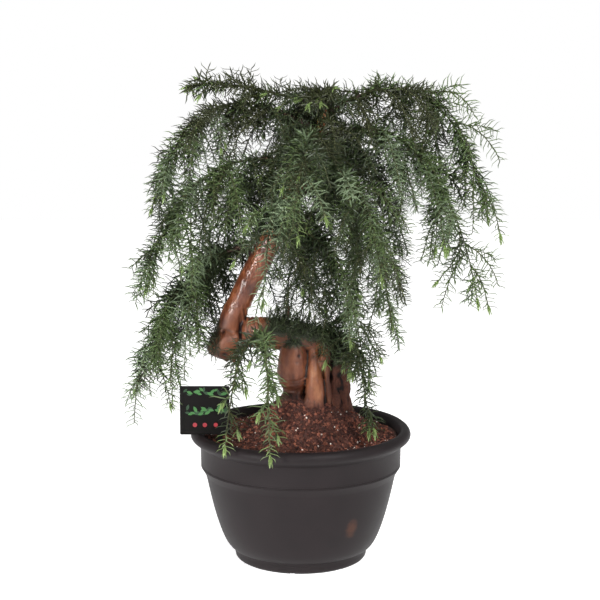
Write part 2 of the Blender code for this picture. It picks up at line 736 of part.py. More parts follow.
def largest_shell(bm):
    """Drop every shell but the largest: loose scraps and the walls of sealed hollows."""
    waiting = set(bm.faces)
    shells = []
    while waiting:
        front = [waiting.pop()]
        shell = list(front)
        while front:
            face = front.pop()
            for edge in face.edges:
                for other in edge.link_faces:
                    if other in waiting:
                        waiting.remove(other)
                        front.append(other)
                        shell.append(other)
        shells.append(shell)
    shells.sort(key=len)
    for shell in shells[:-1]:
        bmesh.ops.delete(bm, geom=shell, context="FACES")


def join_mass(stem, shoots):
    """Join a stem and its side shoots into one solid by one union."""
    twigs = make_collection("twigs")
    for bm in shoots:
        add_object("twig", mesh_from(bm, "twig"), twigs)
    union = stem.modifiers.new("join", "BOOLEAN")
    union.operation = "UNION"
    union.operand_type = "COLLECTION"
    union.collection = twigs
    union.solver = "MANIFOLD"
    depsgraph = bpy.context.evaluated_depsgraph_get()
    joined = bpy.data.meshes.new_from_object(stem.evaluated_get(depsgraph))
    stem.modifiers.clear()
    bm = bmesh.new()
    bm.from_mesh(joined)
    largest_shell(bm)
    bm.to_mesh(joined)
    bm.free()
    stem.data = joined
    for twig in list(twigs.objects):
        bpy.data.objects.remove(twig)
    bpy.data.collections.remove(twigs)


def make_crown(collection, wood, trunk_cutter, others):
    """Boughs first, then every stem, then side shoots in the space that is left."""
    bark = make_material("young bark", "5d3a26", 0.8)
    needles = make_material("glaucous needles", "3c5240", 0.6)
    boughs = [make_bough(limb, collection, bark, trunk_cutter) for limb in LIMBS]
    bpy.context.view_layer.update()
    wood_trees = [tree_of(thing) for thing in wood]
    fixed = wood_trees + [tree_of(thing) for thing in boughs + others]
    courses = {limb.name: limb_course(limb) for limb in LIMBS}
    courses.update({spur.name: arch(spur.foot, spur.heading, spur.reach, spur.lift, spur.fall)
                    for spur in SPURS})
    starts, masses, taken = {}, {}, {}
    for limb in LIMBS + SPURS:
        seed = f"{SEED} {limb.name}"
        course = courses[limb.name]
        starts[limb.name] = stem_start(limb, course, seed, wood_trees)
        stem = make_stem(course, starts[limb.name], seed, fixed + list(taken.values()))
        taken[limb.name] = BVHTree.FromBMesh(stem)
        mesh = mesh_from(stem, "foliage_" + limb.name)
        masses[limb.name] = add_object(mesh.name, mesh, collection, needles)
    for limb in LIMBS + SPURS:
        trees = fixed + [tree for name, tree in taken.items() if name != limb.name]
        shoots = shoots_of(courses[limb.name], starts[limb.name], limb, trees)
        join_mass(masses[limb.name], shoots)
        bpy.context.view_layer.update()
        taken[limb.name] = tree_of(masses[limb.name])


def build():
    clear_scene()
    make_collection("cutters")
    plant = make_collection("araucaria bonsai")
    pot = make_pot(plant)
    wood, stump_cutter = make_trunk(plant)
    label = make_label(plant)
    soil = make_soil(plant, [stump_cutter, label_cutter()])
    bpy.context.view_layer.update()
    trunk_cutter = add_cutter("upper_cutter", upper_mesh("upper_cutter", GAP))
    make_crown(plant, wood, trunk_cutter, [pot, soil, label])


build()
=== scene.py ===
# %% [markdown]
# # A weeping araucaria bonsai in its round pot
#
# The plant has three pieces of old wood: a fluted stump, a level arm and a slanting trunk.
# Boughs arch out of the slanting trunk and hang, and each carries shoots set with needles.
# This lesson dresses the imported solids: each solid is replaced by a finer piece that follows
# the same lines.  Everything is in metres, +Z up, with the viewer at -Y.

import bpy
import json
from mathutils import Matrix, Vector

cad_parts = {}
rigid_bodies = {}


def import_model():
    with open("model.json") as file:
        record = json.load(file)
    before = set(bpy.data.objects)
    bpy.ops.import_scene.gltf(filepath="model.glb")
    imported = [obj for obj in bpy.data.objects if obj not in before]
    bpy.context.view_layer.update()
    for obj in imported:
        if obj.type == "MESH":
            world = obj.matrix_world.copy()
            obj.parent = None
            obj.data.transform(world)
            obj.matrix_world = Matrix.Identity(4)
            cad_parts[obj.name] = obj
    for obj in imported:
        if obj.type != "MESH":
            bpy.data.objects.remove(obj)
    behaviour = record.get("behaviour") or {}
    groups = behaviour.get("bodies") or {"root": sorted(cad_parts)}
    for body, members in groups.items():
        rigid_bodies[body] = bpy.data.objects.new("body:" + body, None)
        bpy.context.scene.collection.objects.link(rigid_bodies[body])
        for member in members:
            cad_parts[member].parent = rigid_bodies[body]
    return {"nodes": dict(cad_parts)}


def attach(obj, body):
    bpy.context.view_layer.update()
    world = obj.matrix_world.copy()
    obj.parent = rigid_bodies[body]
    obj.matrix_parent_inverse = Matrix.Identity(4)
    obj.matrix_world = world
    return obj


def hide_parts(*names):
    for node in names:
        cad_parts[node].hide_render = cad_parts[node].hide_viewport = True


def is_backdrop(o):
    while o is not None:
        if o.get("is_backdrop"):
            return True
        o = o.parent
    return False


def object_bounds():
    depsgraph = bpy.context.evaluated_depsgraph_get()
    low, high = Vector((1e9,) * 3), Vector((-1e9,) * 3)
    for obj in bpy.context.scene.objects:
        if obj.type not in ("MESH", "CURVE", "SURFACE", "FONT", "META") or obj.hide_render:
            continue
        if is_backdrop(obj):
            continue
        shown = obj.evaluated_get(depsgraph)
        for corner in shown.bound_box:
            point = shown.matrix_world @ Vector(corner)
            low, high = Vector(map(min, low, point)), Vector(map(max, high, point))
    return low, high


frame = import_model()
CAD_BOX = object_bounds()
print("solids:", len(frame["nodes"]), "box:", [tuple(round(v, 3) for v in c) for c in CAD_BOX])

# %% Modules
import json
import math
import random
from collections import namedtuple
from functools import partial

import bmesh
import bpy
import numpy as np
from mathutils import Matrix, Vector, noise

SEED = 11

# %% [markdown]
# ## Helpers
#
# A colour is written as the hex value that a paint program shows, and Blender wants linear
# light, so one function turns the first into the second.  One more adds a node to a tree: its
# settings are set first, then each input gets a constant or a link.  A link may name a socket,
# or a node when its first output is meant.

# %% Colour, node and object helpers
def linear(colour):
    """A hex colour as linear light, with full alpha."""
    channels = [int(colour[i:i + 2], 16) / 255 for i in (0, 2, 4)]
    return (*(c / 12.92 if c <= 0.04045 else ((c + 0.055) / 1.055) ** 2.4 for c in channels), 1.0)


def connect(tree, node, wires):
    """Give inputs of a node a constant, a socket to follow, or a node's first output."""
    for key, value in wires.items():
        if isinstance(value, bpy.types.Node):
            value = value.outputs[0]
        if isinstance(value, bpy.types.NodeSocket):
            tree.links.new(value, node.inputs[key])
        else:
            node.inputs[key].default_value = value


def add_node(tree, kind, wires=None, **settings):
    """Add a node of a kind to a tree, with its settings and its links."""
    node = tree.nodes.new(kind)
    for name, value in settings.items():
        setattr(node, name, value)
    connect(tree, node, wires or {})
    return node


def dress(material, wires):
    """Connect the sockets of a material's Principled shader."""
    tree = material.node_tree
    connect(tree, tree.nodes["Principled BSDF"], wires)


def new_material(name, colour, roughness, **sockets):
    """A Principled material whose even values are set on the shader's own sockets."""
    material = bpy.data.materials.new(name)
    material.use_nodes = True
    even = {key.replace("_", " "): value for key, value in sockets.items()}
    dress(material, {"Base Color": linear(colour), "Roughness": roughness, **even})
    print("material:", name)
    return material


def mesh_of(bm, name, outwards=False):
    """Write a bmesh to a new mesh and free it; outwards first turns its faces out."""
    if outwards:
        bmesh.ops.recalc_face_normals(bm, faces=bm.faces)
    mesh = bpy.data.meshes.new(name)
    bm.to_mesh(mesh)
    bm.free()
    return mesh


def add_object(name, data, material=None):
    """Put a mesh, a camera or a light in the scene as one named object."""
    thing = bpy.data.objects.new(name, data)
    bpy.context.scene.collection.objects.link(thing)
    if material:
        data.materials.append(material)
    return thing


def settle(thing):
    """Turn what an object's modifiers make into its own plain mesh, and drop the modifiers."""
    depsgraph = bpy.context.evaluated_depsgraph_get()
    mesh = bpy.data.meshes.new_from_object(thing.evaluated_get(depsgraph))
    thing.modifiers.clear()
    thing.data = mesh
    mesh.name = thing.name


def hand_in(thing, slot, *nodes):
    """Give a finished piece its body, hide the solids it stands for, and report it; slot is not used."""
    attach(thing, "root")
    if nodes:
        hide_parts(*nodes)
    thing.data.calc_loop_triangles()
    print(f"{thing.name}: {len(thing.data.loop_triangles)} triangles")


def bezier(points, t):
    """A point on the Bezier curve of any number of control points."""
    while len(points) > 1:
        points = [a.lerp(b, t) for a, b in zip(points, points[1:])]
    return points[0]


def lumps(place, scale, height):
    """Smooth noise of a height, with about scale lumps to a metre."""
    return noise.noise(place * scale) * height


# %% [markdown]
# ## Camera, light and floor
#
# The lens looks down by about ten degrees from 2.5 m away.  A white surround gives the soft
# light of a light tent.  It is seen at full strength but lights at less than half of it, so that
# the dark pot keeps its tone.  A square key panel stands high on the right.  A long narrow strip
# on the left has a tight spread, so it draws the streak down the glossy trunk and lights little
# else.  A pale floor takes the pot's faint shadow.

# %% Camera
LENS_PIXELS = 1710.8        # focal length in pixels of a 600-pixel frame
FRAME_PIXELS = 600
SENSOR = 36.0
LOOKS_DOWN = 9.921          # degrees
camera_data = bpy.data.cameras.new("camera")
camera_data.sensor_width = SENSOR
camera_data.lens = LENS_PIXELS / FRAME_PIXELS * SENSOR
camera = add_object("camera", camera_data)
camera.location = (-0.0011, -2.5, 0.8294)
camera.rotation_euler = (math.radians(90 - LOOKS_DOWN), 0, 0)
bpy.context.scene.camera = camera
print("lens", round(camera_data.lens, 2), "mm")

# %% Light and floor
WHITE = (1.0, 1.0, 1.0, 1.0)
SKY_LIGHT = 0.40
FLOOR_HALF = 4.0
bpy.context.scene.view_settings.view_transform = "Standard"
surround = bpy.data.worlds.new("surround")
surround.use_nodes = True
sky = surround.node_tree
soft, plain = (add_node(sky, "ShaderNodeBackground", {"Color": WHITE, "Strength": strength})
               for strength in (SKY_LIGHT, 1.0))
seen = add_node(sky, "ShaderNodeLightPath").outputs["Is Camera Ray"]
split = add_node(sky, "ShaderNodeMixShader", {0: seen, 1: soft, 2: plain})
connect(sky, sky.nodes["World Output"], {"Surface": split})
bpy.context.scene.world = surround

# name, place, aimed at, width, height, power in watts, spread in degrees
PANELS = (
    ("key panel", (1.1, -1.9, 1.9), (0.0, 0.0, 0.35), 0.9, 0.9, 54.0, 180),
    ("strip", (-1.45, -1.9, 0.95), (-0.04, 0.0, 0.50), 0.14, 1.6, 2.4, 24),
)
for name, place, aim, width, height, power, spread in PANELS:
    panel_data = bpy.data.lights.new(name, "AREA")
    panel_data.shape = "RECTANGLE"
    panel_data.size = width
    panel_data.size_y = height
    panel_data.energy = power
    panel_data.spread = math.radians(spread)
    panel = add_object(name, panel_data)
    panel.location = place
    panel.rotation_euler = (Vector(aim) - Vector(place)).to_track_quat("-Z", "Y").to_euler()
print("panels:", [row[0] for row in PANELS])

bm = bmesh.new()
bmesh.ops.create_grid(bm, x_segments=1, y_segments=1, size=FLOOR_HALF)
pale_paper = new_material("pale paper", "f4f4f4", 0.9, Emission_Color=WHITE, Emission_Strength=0.8)
floor = add_object("floor", mesh_of(bm, "floor"), pale_paper)
floor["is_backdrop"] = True

# %% [markdown]
# ## The pot
#
# A nursery bowl is injection moulded from recycled polypropylene: one wall of even thickness
# with a rolled lip, a plain collar that ends in two fine grooves, a slanting step and a low foot
# ring.  Turning one outline round the axis makes all of that at once, so a Screw modifier does
# it, with enough steps to look round.  Drain holes and the shallow water channels under the foot
# are then cut by Booleans.

# %% Pot sizes
LIP_TOP_Z = 0.2000
COLLAR_RADIUS = 0.1500
COLLAR_FOOT_Z = 0.1412
STEP_RADIUS = 0.1425
STEP_Z = 0.1300
GROOVE = 0.0005              # depth of the two fine grooves round the collar
GROOVES_Z = (0.1452, 0.1428)
FOOT_RADIUS = 0.1020
FOOT_TOP_Z = 0.0175
BASE_RADIUS = 0.0940
BOWL_CURVE = 0.55
BOWL_RINGS = 20
WALL = 0.0030
POT_FLOOR = 0.0040
POT_STEPS = 192
DRAINS = 4
DRAIN_OUT, DRAIN_RADIUS = 0.052, 0.006
CHANNELS = 8
CHANNEL_OUT, CHANNEL_SIZE = 0.092, (0.040, 0.007, 0.0032)
CHANNEL_TURN = 262.5         # degrees; two channels show as notches in the foot's front
EDGE_ANGLE = 38              # degrees; a sharper edge isn't shaded smooth


def bowl_radius(height):
    """Outer radius of the bowl between its foot and the step under the collar."""
    share = (height - FOOT_TOP_Z) / (STEP_Z - FOOT_TOP_Z)
    return FOOT_RADIUS + (STEP_RADIUS - FOOT_RADIUS) * max(share, 0.0) ** BOWL_CURVE


# %% Pot outline
LIP = ((0.1506, 0.1972), (0.1530, 0.1992), (0.1560, 0.2000), (0.1592, 0.1992), (0.1620, 0.1970),
       (0.1640, 0.1940), (0.1650, 0.1905), (0.1648, 0.1880), (0.1634, 0.1854), (0.1606, 0.1828),
       (0.1570, 0.1802), (0.1535, 0.1778), (0.1512, 0.1760), (0.1504, 0.1748))


def pot_outline():
    """The wall's closed outline of (radius, height), from the lip down and back up inside."""
    outline = list(LIP)
    for groove_z in GROOVES_Z:
        outline += [(COLLAR_RADIUS - deep * GROOVE, groove_z + up * GROOVE)
                    for deep, up in ((0, 1), (1, 0.3), (1, -0.3), (0, -1))]
    outline += [(COLLAR_RADIUS - 0.0008, COLLAR_FOOT_Z), (STEP_RADIUS + 0.0012, STEP_Z + 0.0020),
                (STEP_RADIUS + 0.0002, STEP_Z - 0.0006)]
    for ring in range(1, BOWL_RINGS):
        height = FOOT_TOP_Z + (STEP_Z - 0.001 - FOOT_TOP_Z) * (1 - ring / BOWL_RINGS) ** 1.5
        outline.append((bowl_radius(height), height))
    outline += [(FOOT_RADIUS, FOOT_TOP_Z), (FOOT_RADIUS - 0.0009, FOOT_TOP_Z - 0.0006),
                (FOOT_RADIUS - 0.0020, FOOT_TOP_Z - 0.0020), (FOOT_RADIUS - 0.0025, 0.0100),
                (FOOT_RADIUS - 0.0027, 0.0060), (FOOT_RADIUS - 0.0032, 0.0042),
                (BASE_RADIUS + 0.0030, 0.0018), (BASE_RADIUS, 0.0), (0.0, 0.0),
                (0.0, POT_FLOOR), (BASE_RADIUS - WALL, POT_FLOOR)]
    for step in range(9):
        height = FOOT_TOP_Z + (STEP_Z - FOOT_TOP_Z) * step / 8
        outline.append((bowl_radius(height) - WALL, height))
    outline += [(COLLAR_RADIUS - 1.5 * WALL, COLLAR_FOOT_Z),
                (COLLAR_RADIUS - 0.0030, LIP_TOP_Z - 0.0100), outline[0]]
    return outline


print("pot outline:", len(pot_outline()), "points")


# %% Turn an outline
def turned(name, outline, steps, material):
    """Turn a closed outline round the Z axis into one plain mesh."""
    bm = bmesh.new()
    corners = [bm.verts.new((radius, 0, height)) for radius, height in outline]
    for pair in zip(corners, corners[1:]):
        bm.edges.new(pair)
    thing = add_object(name, mesh_of(bm, name), material)
    screw = thing.modifiers.new("turn", "SCREW")
    screw.steps = screw.render_steps = steps
    screw.use_merge_vertices = True
    screw.merge_threshold = 0.00001
    settle(thing)
    bm = bmesh.new()
    bm.from_mesh(thing.data)
    bmesh.ops.recalc_face_normals(bm, faces=bm.faces)
    bm.to_mesh(thing.data)
    bm.free()
    return thing


# %% [markdown]
# ### Moulded polypropylene
#
# Recycled polypropylene is a warm dark grey and faintly satin.  Its mould leaves a fine grain of
# about half a millimetre, dust dulls it in broad soft patches, and wet rust has left one brown
# smear low on the wall.

# %% Pot material
SMEAR_MIDDLE = (0.0733, -0.1055, 0.0735)
SMEAR_SHAPE = (1.0, 1.0, 0.62)       # below 1 draws it out
SMEAR_FULL, SMEAR_END = 0.0090, 0.0170


def moulded_plastic():
    """Satin grey polypropylene with grain, dull patches and one rusty smear."""
    grey = "1b1718"
    material = new_material("moulded recycled polypropylene", grey, 0.5, Specular_IOR_Level=0.14)
    node = partial(add_node, material.node_tree)
    place = node("ShaderNodeTexCoord").outputs["Object"]
    dust = node("ShaderNodeTexNoise", {"Vector": place, "Scale": 22.0, "Detail": 5.0})
    tint = node("ShaderNodeMix", {0: dust, 6: linear(grey), 7: linear("272122")},
                data_type="RGBA").outputs[2]
    spot = node("ShaderNodeVectorMath", {0: place, 1: SMEAR_MIDDLE}, operation="SUBTRACT")
    shape = node("ShaderNodeVectorMath", {0: spot, 1: SMEAR_SHAPE}, operation="MULTIPLY")
    reach = node("ShaderNodeVectorMath", {0: shape}, operation="LENGTH").outputs["Value"]
    ragged = node("ShaderNodeTexNoise", {"Vector": place, "Scale": 160.0, "Detail": 3.0})
    edge = node("ShaderNodeMath", {0: ragged, 1: 0.010, 2: reach}, operation="MULTIPLY_ADD")
    smear = node("ShaderNodeMapRange", {"Value": edge, "From Min": SMEAR_FULL,
                                        "From Max": SMEAR_END, "To Min": 0.45, "To Max": 0.0})
    paint = node("ShaderNodeMix", {0: smear, 6: tint, 7: linear("5c3a2a")}, data_type="RGBA")
    rough = node("ShaderNodeMapRange", {"Value": dust, "To Min": 0.40, "To Max": 0.62})
    grain = node("ShaderNodeTexNoise", {"Vector": place, "Scale": 1600.0, "Detail": 2.0})
    bump = node("ShaderNodeBump", {"Height": grain, "Strength": 0.15, "Distance": 0.0003})
    dress(material, {"Base Color": paint.outputs[2], "Roughness": rough, "Normal": bump})
    return material


# %% Build the pot
pot = turned("bowl_pot", pot_outline(), POT_STEPS, moulded_plastic())


def cut_with(thing, bm, name):
    """Subtract a bmesh from a piece and keep the result as its mesh."""
    cutter = add_object(name, mesh_of(bm, name))
    cut = thing.modifiers.new("cut", "BOOLEAN")
    cut.operation = "DIFFERENCE"
    cut.object = cutter
    settle(thing)
    bpy.data.objects.remove(cutter)


bm = bmesh.new()
for number in range(DRAINS):
    angle = math.tau * (number + 0.5) / DRAINS
    place = Matrix.Translation((DRAIN_OUT * math.cos(angle), DRAIN_OUT * math.sin(angle), 0))
    bmesh.ops.create_cone(bm, cap_ends=True, segments=32, radius1=DRAIN_RADIUS,
                          radius2=DRAIN_RADIUS, depth=4 * POT_FLOOR, matrix=place)
cut_with(pot, bm, "drains")
bm = bmesh.new()
for number in range(CHANNELS):
    turn = Matrix.Rotation(math.radians(CHANNEL_TURN) + math.tau * number / CHANNELS, 4, "Z")
    place = turn @ Matrix.Translation((CHANNEL_OUT, 0, 0)) @ Matrix.Diagonal((*CHANNEL_SIZE, 1))
    bmesh.ops.create_cube(bm, size=1.0, matrix=place)
cut_with(pot, bm, "channels")
pot.data.shade_smooth()
pot.data.set_sharp_from_angle(angle=math.radians(EDGE_ANGLE))
hand_in(pot, "pot_plastic", "pot")

# %% [markdown]
# ## The soil
#
# Bonsai soil is a bed of moist bark chips with white grains of perlite, banked up round the
# stump.  The bed is a turned plug whose top follows one height rule.  The chips are scattered on
# it by Geometry Nodes: points on the faces, an instance of a chip on each, turned at random.

# %% The bed
SOIL_EDGE_Z = 0.1850
SOIL_RISE = 0.0420
MOUND = Vector((0.0, 0.03))
MOUND_REACH = 0.14
BANK = Vector((0.026, -0.004))      # the middle of the stump
BANK_RISE = 0.031
BANK_FLAT = 0.030                   # it is level this far out, under the stump
BANK_REACH = 0.096


def soil_height(x, y):
    """Height of the soil: level at the wall, banked up behind and round the stump."""
    near = max(0.0, 1 - math.hypot(x - MOUND.x, y - MOUND.y) / MOUND_REACH)
    edge = math.hypot(x, y) / COLLAR_RADIUS
    away = math.hypot(x - BANK.x, y - BANK.y) - BANK_FLAT
    bank = min(max(0.0, 1 - away / (BANK_REACH - BANK_FLAT)), 1.0)
    rise = SOIL_RISE * near * near * (3 - 2 * near) * (1 - edge ** 4)
    return SOIL_EDGE_Z + rise + BANK_RISE * bank * bank * (3 - 2 * bank)


def make_bed(material):
    """The soil plug, uneven on top."""
    rim = COLLAR_RADIUS - 0.0034
    outline = [(rim * ring / 40, SOIL_EDGE_Z) for ring in range(41)]
    outline += [(COLLAR_RADIUS - 1.5 * WALL - 0.0006, COLLAR_FOOT_Z), (0.0, COLLAR_FOOT_Z)]
    bed = turned("soil_bed", outline + outline[:1], 128, material)
    for corner in bed.data.vertices:
        place = corner.co
        if place.z > SOIL_EDGE_Z - 0.001:
            uneven = lumps(place, 60, 0.0030) + lumps(place, 190, 0.0016)
            place.z = soil_height(place.x, place.y) + uneven
    return bed


# %% [markdown]
# ### Bark mix and perlite
#
# Composted pine bark is a matt red-brown, darker where it is wet.  Perlite is a volcanic glass
# puffed up by heat, so it is white, light and dull.

# %% Soil materials
def mottled(name, dark, light, scale, roughness):
    """A matt material whose colour wanders between two tones."""
    material = new_material(name, dark, roughness)
    node = partial(add_node, material.node_tree)
    place = node("ShaderNodeTexCoord").outputs["Object"]
    spots = node("ShaderNodeTexNoise", {"Vector": place, "Scale": scale, "Detail": 4.0})
    spread = node("ShaderNodeMapRange", {"Value": spots, "From Min": 0.35, "From Max": 0.65})
    tint = node("ShaderNodeMix", {0: spread, 6: linear(dark), 7: linear(light)}, data_type="RGBA")
    bump = node("ShaderNodeBump", {"Height": spots, "Strength": 0.5, "Distance": 0.0008})
    dress(material, {"Base Color": tint.outputs[2], "Normal": bump})
    return material


fine_bark = mottled("composted bark", "1f0e0b", "4a261b", 260.0, 0.95)
red_chip = mottled("red bark chip", "432018", "8a4f3a", 180.0, 0.85)
brown_chip = mottled("brown bark chip", "2c140e", "5a3022", 180.0, 0.85)
perlite = new_material("expanded perlite", "d8cfc6", 0.9)

# %% [markdown]
# ### Geometry Nodes, the first tree
#
# A tree is built once and then runs on a piece as a modifier.  Its sizes are named inputs.
# Each input is set by the identifier of its socket, since names may repeat.  After it has run,
# the result becomes a plain mesh and the modifier goes.

# %% Node tree helpers
APART = {"Separate Children": True, "Reset Children": True}     # a group as single pieces


def new_tree(name, inputs):
    """A Geometry Nodes tree with named inputs; gives the tree and its input sockets by name."""
    tree = bpy.data.node_groups.new(name, "GeometryNodeTree")
    tree.interface.new_socket("Geometry", in_out="OUTPUT", socket_type="NodeSocketGeometry")
    for label, kind in {"Geometry": "Geometry", **inputs}.items():
        tree.interface.new_socket(label, in_out="INPUT", socket_type="NodeSocket" + kind)
    entry = add_node(tree, "NodeGroupInput")
    return tree, {socket.name: socket for socket in entry.outputs if socket.name}


def end_tree(tree, geometry, materials):
    """Realize, give each tone its material, and close the tree.

    materials is a list; the attribute "tone" says which of them a face takes.
    """
    flow = add_node(tree, "GeometryNodeRealizeInstances", {"Geometry": geometry})
    tone = add_node(tree, "GeometryNodeInputNamedAttribute", {"Name": "tone"}, data_type="INT")
    for number, material in enumerate(materials):
        wires = {"Geometry": flow, "Material": material}
        if len(materials) > 1:
            wires["Selection"] = add_node(tree, "FunctionNodeCompare", {2: tone, 3: number},
                                          data_type="INT", operation="EQUAL")
        flow = add_node(tree, "GeometryNodeSetMaterial", wires)
    add_node(tree, "NodeGroupOutput", {"Geometry": flow})
    print(f"{tree.name}: {len(tree.nodes)} nodes")
    return tree


def run_tree(thing, tree, values):
    """Run a tree on a piece with its named inputs set, and keep what it makes."""
    modifier = thing.modifiers.new(tree.name, "NODES")
    modifier.node_group = tree
    for item in tree.interface.items_tree:
        if item.in_out == "INPUT" and item.name in values:
            modifier[item.identifier] = values[item.name]
    settle(thing)


def hidden_group(name, meshes):
    """A collection of prototypes that instances are picked from."""
    group = bpy.data.collections.new(name)
    bpy.context.scene.collection.children.link(group)
    for number, mesh in enumerate(meshes):
        group.objects.link(bpy.data.objects.new(f"{name}_{number}", mesh))
    return group


def drop_group(group):
    """Take the prototypes out of the scene again."""
    for thing in list(group.objects):
        bpy.data.objects.remove(thing)
    bpy.data.collections.remove(group)


# %% Scatter tree
def scatter_tree(name, materials):
    """Instances from a group, scattered on the faces, turned and given a tone at random."""
    tree, given = new_tree(name, {"Pieces": "Collection", "Density": "Float",
                                  "Smallest": "Float", "Largest": "Float", "Lift": "Float",
                                  "Seed": "Int", "Tilt": "Float"})
    node = partial(add_node, tree)
    tilt, seed = given["Tilt"], given["Seed"]
    cover = node("GeometryNodeInputNamedAttribute", {"Name": "cover"})
    spread = node("GeometryNodeDistributePointsOnFaces",
                  {"Mesh": given["Geometry"], "Distance Min": 0.0008, "Seed": seed,
                   "Density Max": given["Density"], "Density Factor": cover},
                  distribute_method="POISSON")
    back = node("ShaderNodeMath", {0: tilt, 1: -1.0}, operation="MULTIPLY")
    low, high = (node("ShaderNodeCombineXYZ", {0: lean, 1: lean, 2: spin})
                 for lean, spin in ((back, -math.pi), (tilt, math.pi)))
    turn = node("FunctionNodeRandomValue", {0: low, 1: high, "Seed": seed},
                data_type="FLOAT_VECTOR")
    spun = node("FunctionNodeEulerToRotation", {"Euler": turn})
    facing = node("FunctionNodeRotateRotation",
                  {"Rotation": spread.outputs["Rotation"], "Rotate By": spun},
                  rotation_space="LOCAL")
    size = node("FunctionNodeRandomValue",
                {2: given["Smallest"], 3: given["Largest"], "Seed": seed})
    lift = node("ShaderNodeVectorMath", {0: spread.outputs["Normal"], "Scale": given["Lift"]},
                operation="SCALE")
    raised = node("GeometryNodeSetPosition", {"Geometry": spread, "Offset": lift})
    deal = node("FunctionNodeRandomValue", {4: 0, 5: len(materials) - 1, "Seed": 5},
                data_type="INT")
    dealt = node("GeometryNodeStoreNamedAttribute",
                 {"Geometry": raised, "Name": "tone", "Value": deal.outputs[2]}, data_type="INT")
    shapes = node("GeometryNodeCollectionInfo", {"Collection": given["Pieces"], **APART})
    placed = node("GeometryNodeInstanceOnPoints",
                  {"Points": dealt, "Instance": shapes, "Pick Instance": True,
                   "Rotation": facing, "Scale": size.outputs[1]})
    return end_tree(tree, placed, materials)


# %% Scatter on a piece
def scatter_on(carrier, name, tree, meshes, cover, **values):
    """A new piece of instances scattered on a carrier, as dense as cover(corner) says."""
    group = hidden_group(name + "_kinds", meshes)
    mesh = carrier.data.copy()
    weights = mesh.attributes.new("cover", "FLOAT", "POINT")
    for corner in mesh.vertices:
        weights.data[corner.index].value = cover(corner)
    mesh.materials.clear()
    thing = add_object(name, mesh)
    run_tree(thing, tree, {"Pieces": group, **values})
    drop_group(group)
    return thing


# %% Lay the bed and scatter the chips
CHIP_THICKNESS = 0.34       # of its length
GRAIN_SHAPE = (1.0, 0.85, 0.8)
STUMP_COVERS = 0.024        # no chips lie this near the stump's middle
bed = make_bed(fine_bark)


def rough_lump(name, size, dice):
    """A small irregular lump: an icosphere stretched to size with its corners moved."""
    bm = bmesh.new()
    bmesh.ops.create_icosphere(bm, subdivisions=1, radius=0.5)
    for corner in bm.verts:
        corner.co *= 1 + dice.uniform(-0.22, 0.22)
        corner.co = Vector((corner.co[axis] * size[axis] for axis in range(3)))
    return mesh_of(bm, name)


def on_top(corner):
    """1 on the surface of the bed and 0 under the stump, at the wall and below."""
    place = corner.co
    upper = corner.normal.z > 0.35 and place.z > SOIL_EDGE_Z - 0.006
    under = math.hypot(place.x - BANK.x, place.y - BANK.y) < STUMP_COVERS
    at_wall = math.hypot(place.x, place.y) > COLLAR_RADIUS - 0.0085
    return 1.0 if upper and not under and not at_wall else 0.0


dice = random.Random(f"{SEED} chips")
chip_shapes = [rough_lump("chip", (dice.uniform(0.8, 1.3), dice.uniform(0.45, 0.8),
                                   CHIP_THICKNESS), dice) for _ in range(6)]
grain_shapes = [rough_lump("grain", GRAIN_SHAPE, dice) for _ in range(3)]
chip_tree = scatter_tree("scatter bark", [red_chip, brown_chip, fine_bark])
grain_tree = scatter_tree("scatter perlite", [perlite])
chips = scatter_on(bed, "bark_chips", chip_tree, chip_shapes, on_top, Density=62000.0,
                   Smallest=0.0032, Largest=0.0110, Lift=0.0006, Seed=3, Tilt=0.7)
grains = scatter_on(bed, "perlite_grains", grain_tree, grain_shapes, on_top, Density=2300.0,
                    Smallest=0.0010, Largest=0.0034, Lift=0.0014, Seed=8, Tilt=3.0)
bed.data.shade_smooth()
hand_in(bed, "bark_soil", "soil")
hand_in(chips, "bark_soil")
hand_in(grains, "bark_soil")

# %% [markdown]
# ## The old wood
#
# The stump of a grown araucaria bonsai is several stems that have run together, with bare
# coppery bark on the round ones and dark fibrous bark on the old side.  The arm shows the rings
# of lost branches, and it ends in a knob from which the slanting trunk rises.  Tapered tubes are
# drawn along each stem, a voxel Remesh melts them into one skin, and the relief is then worked
# into that skin corner by corner: fluting, rings, fibres, pits.

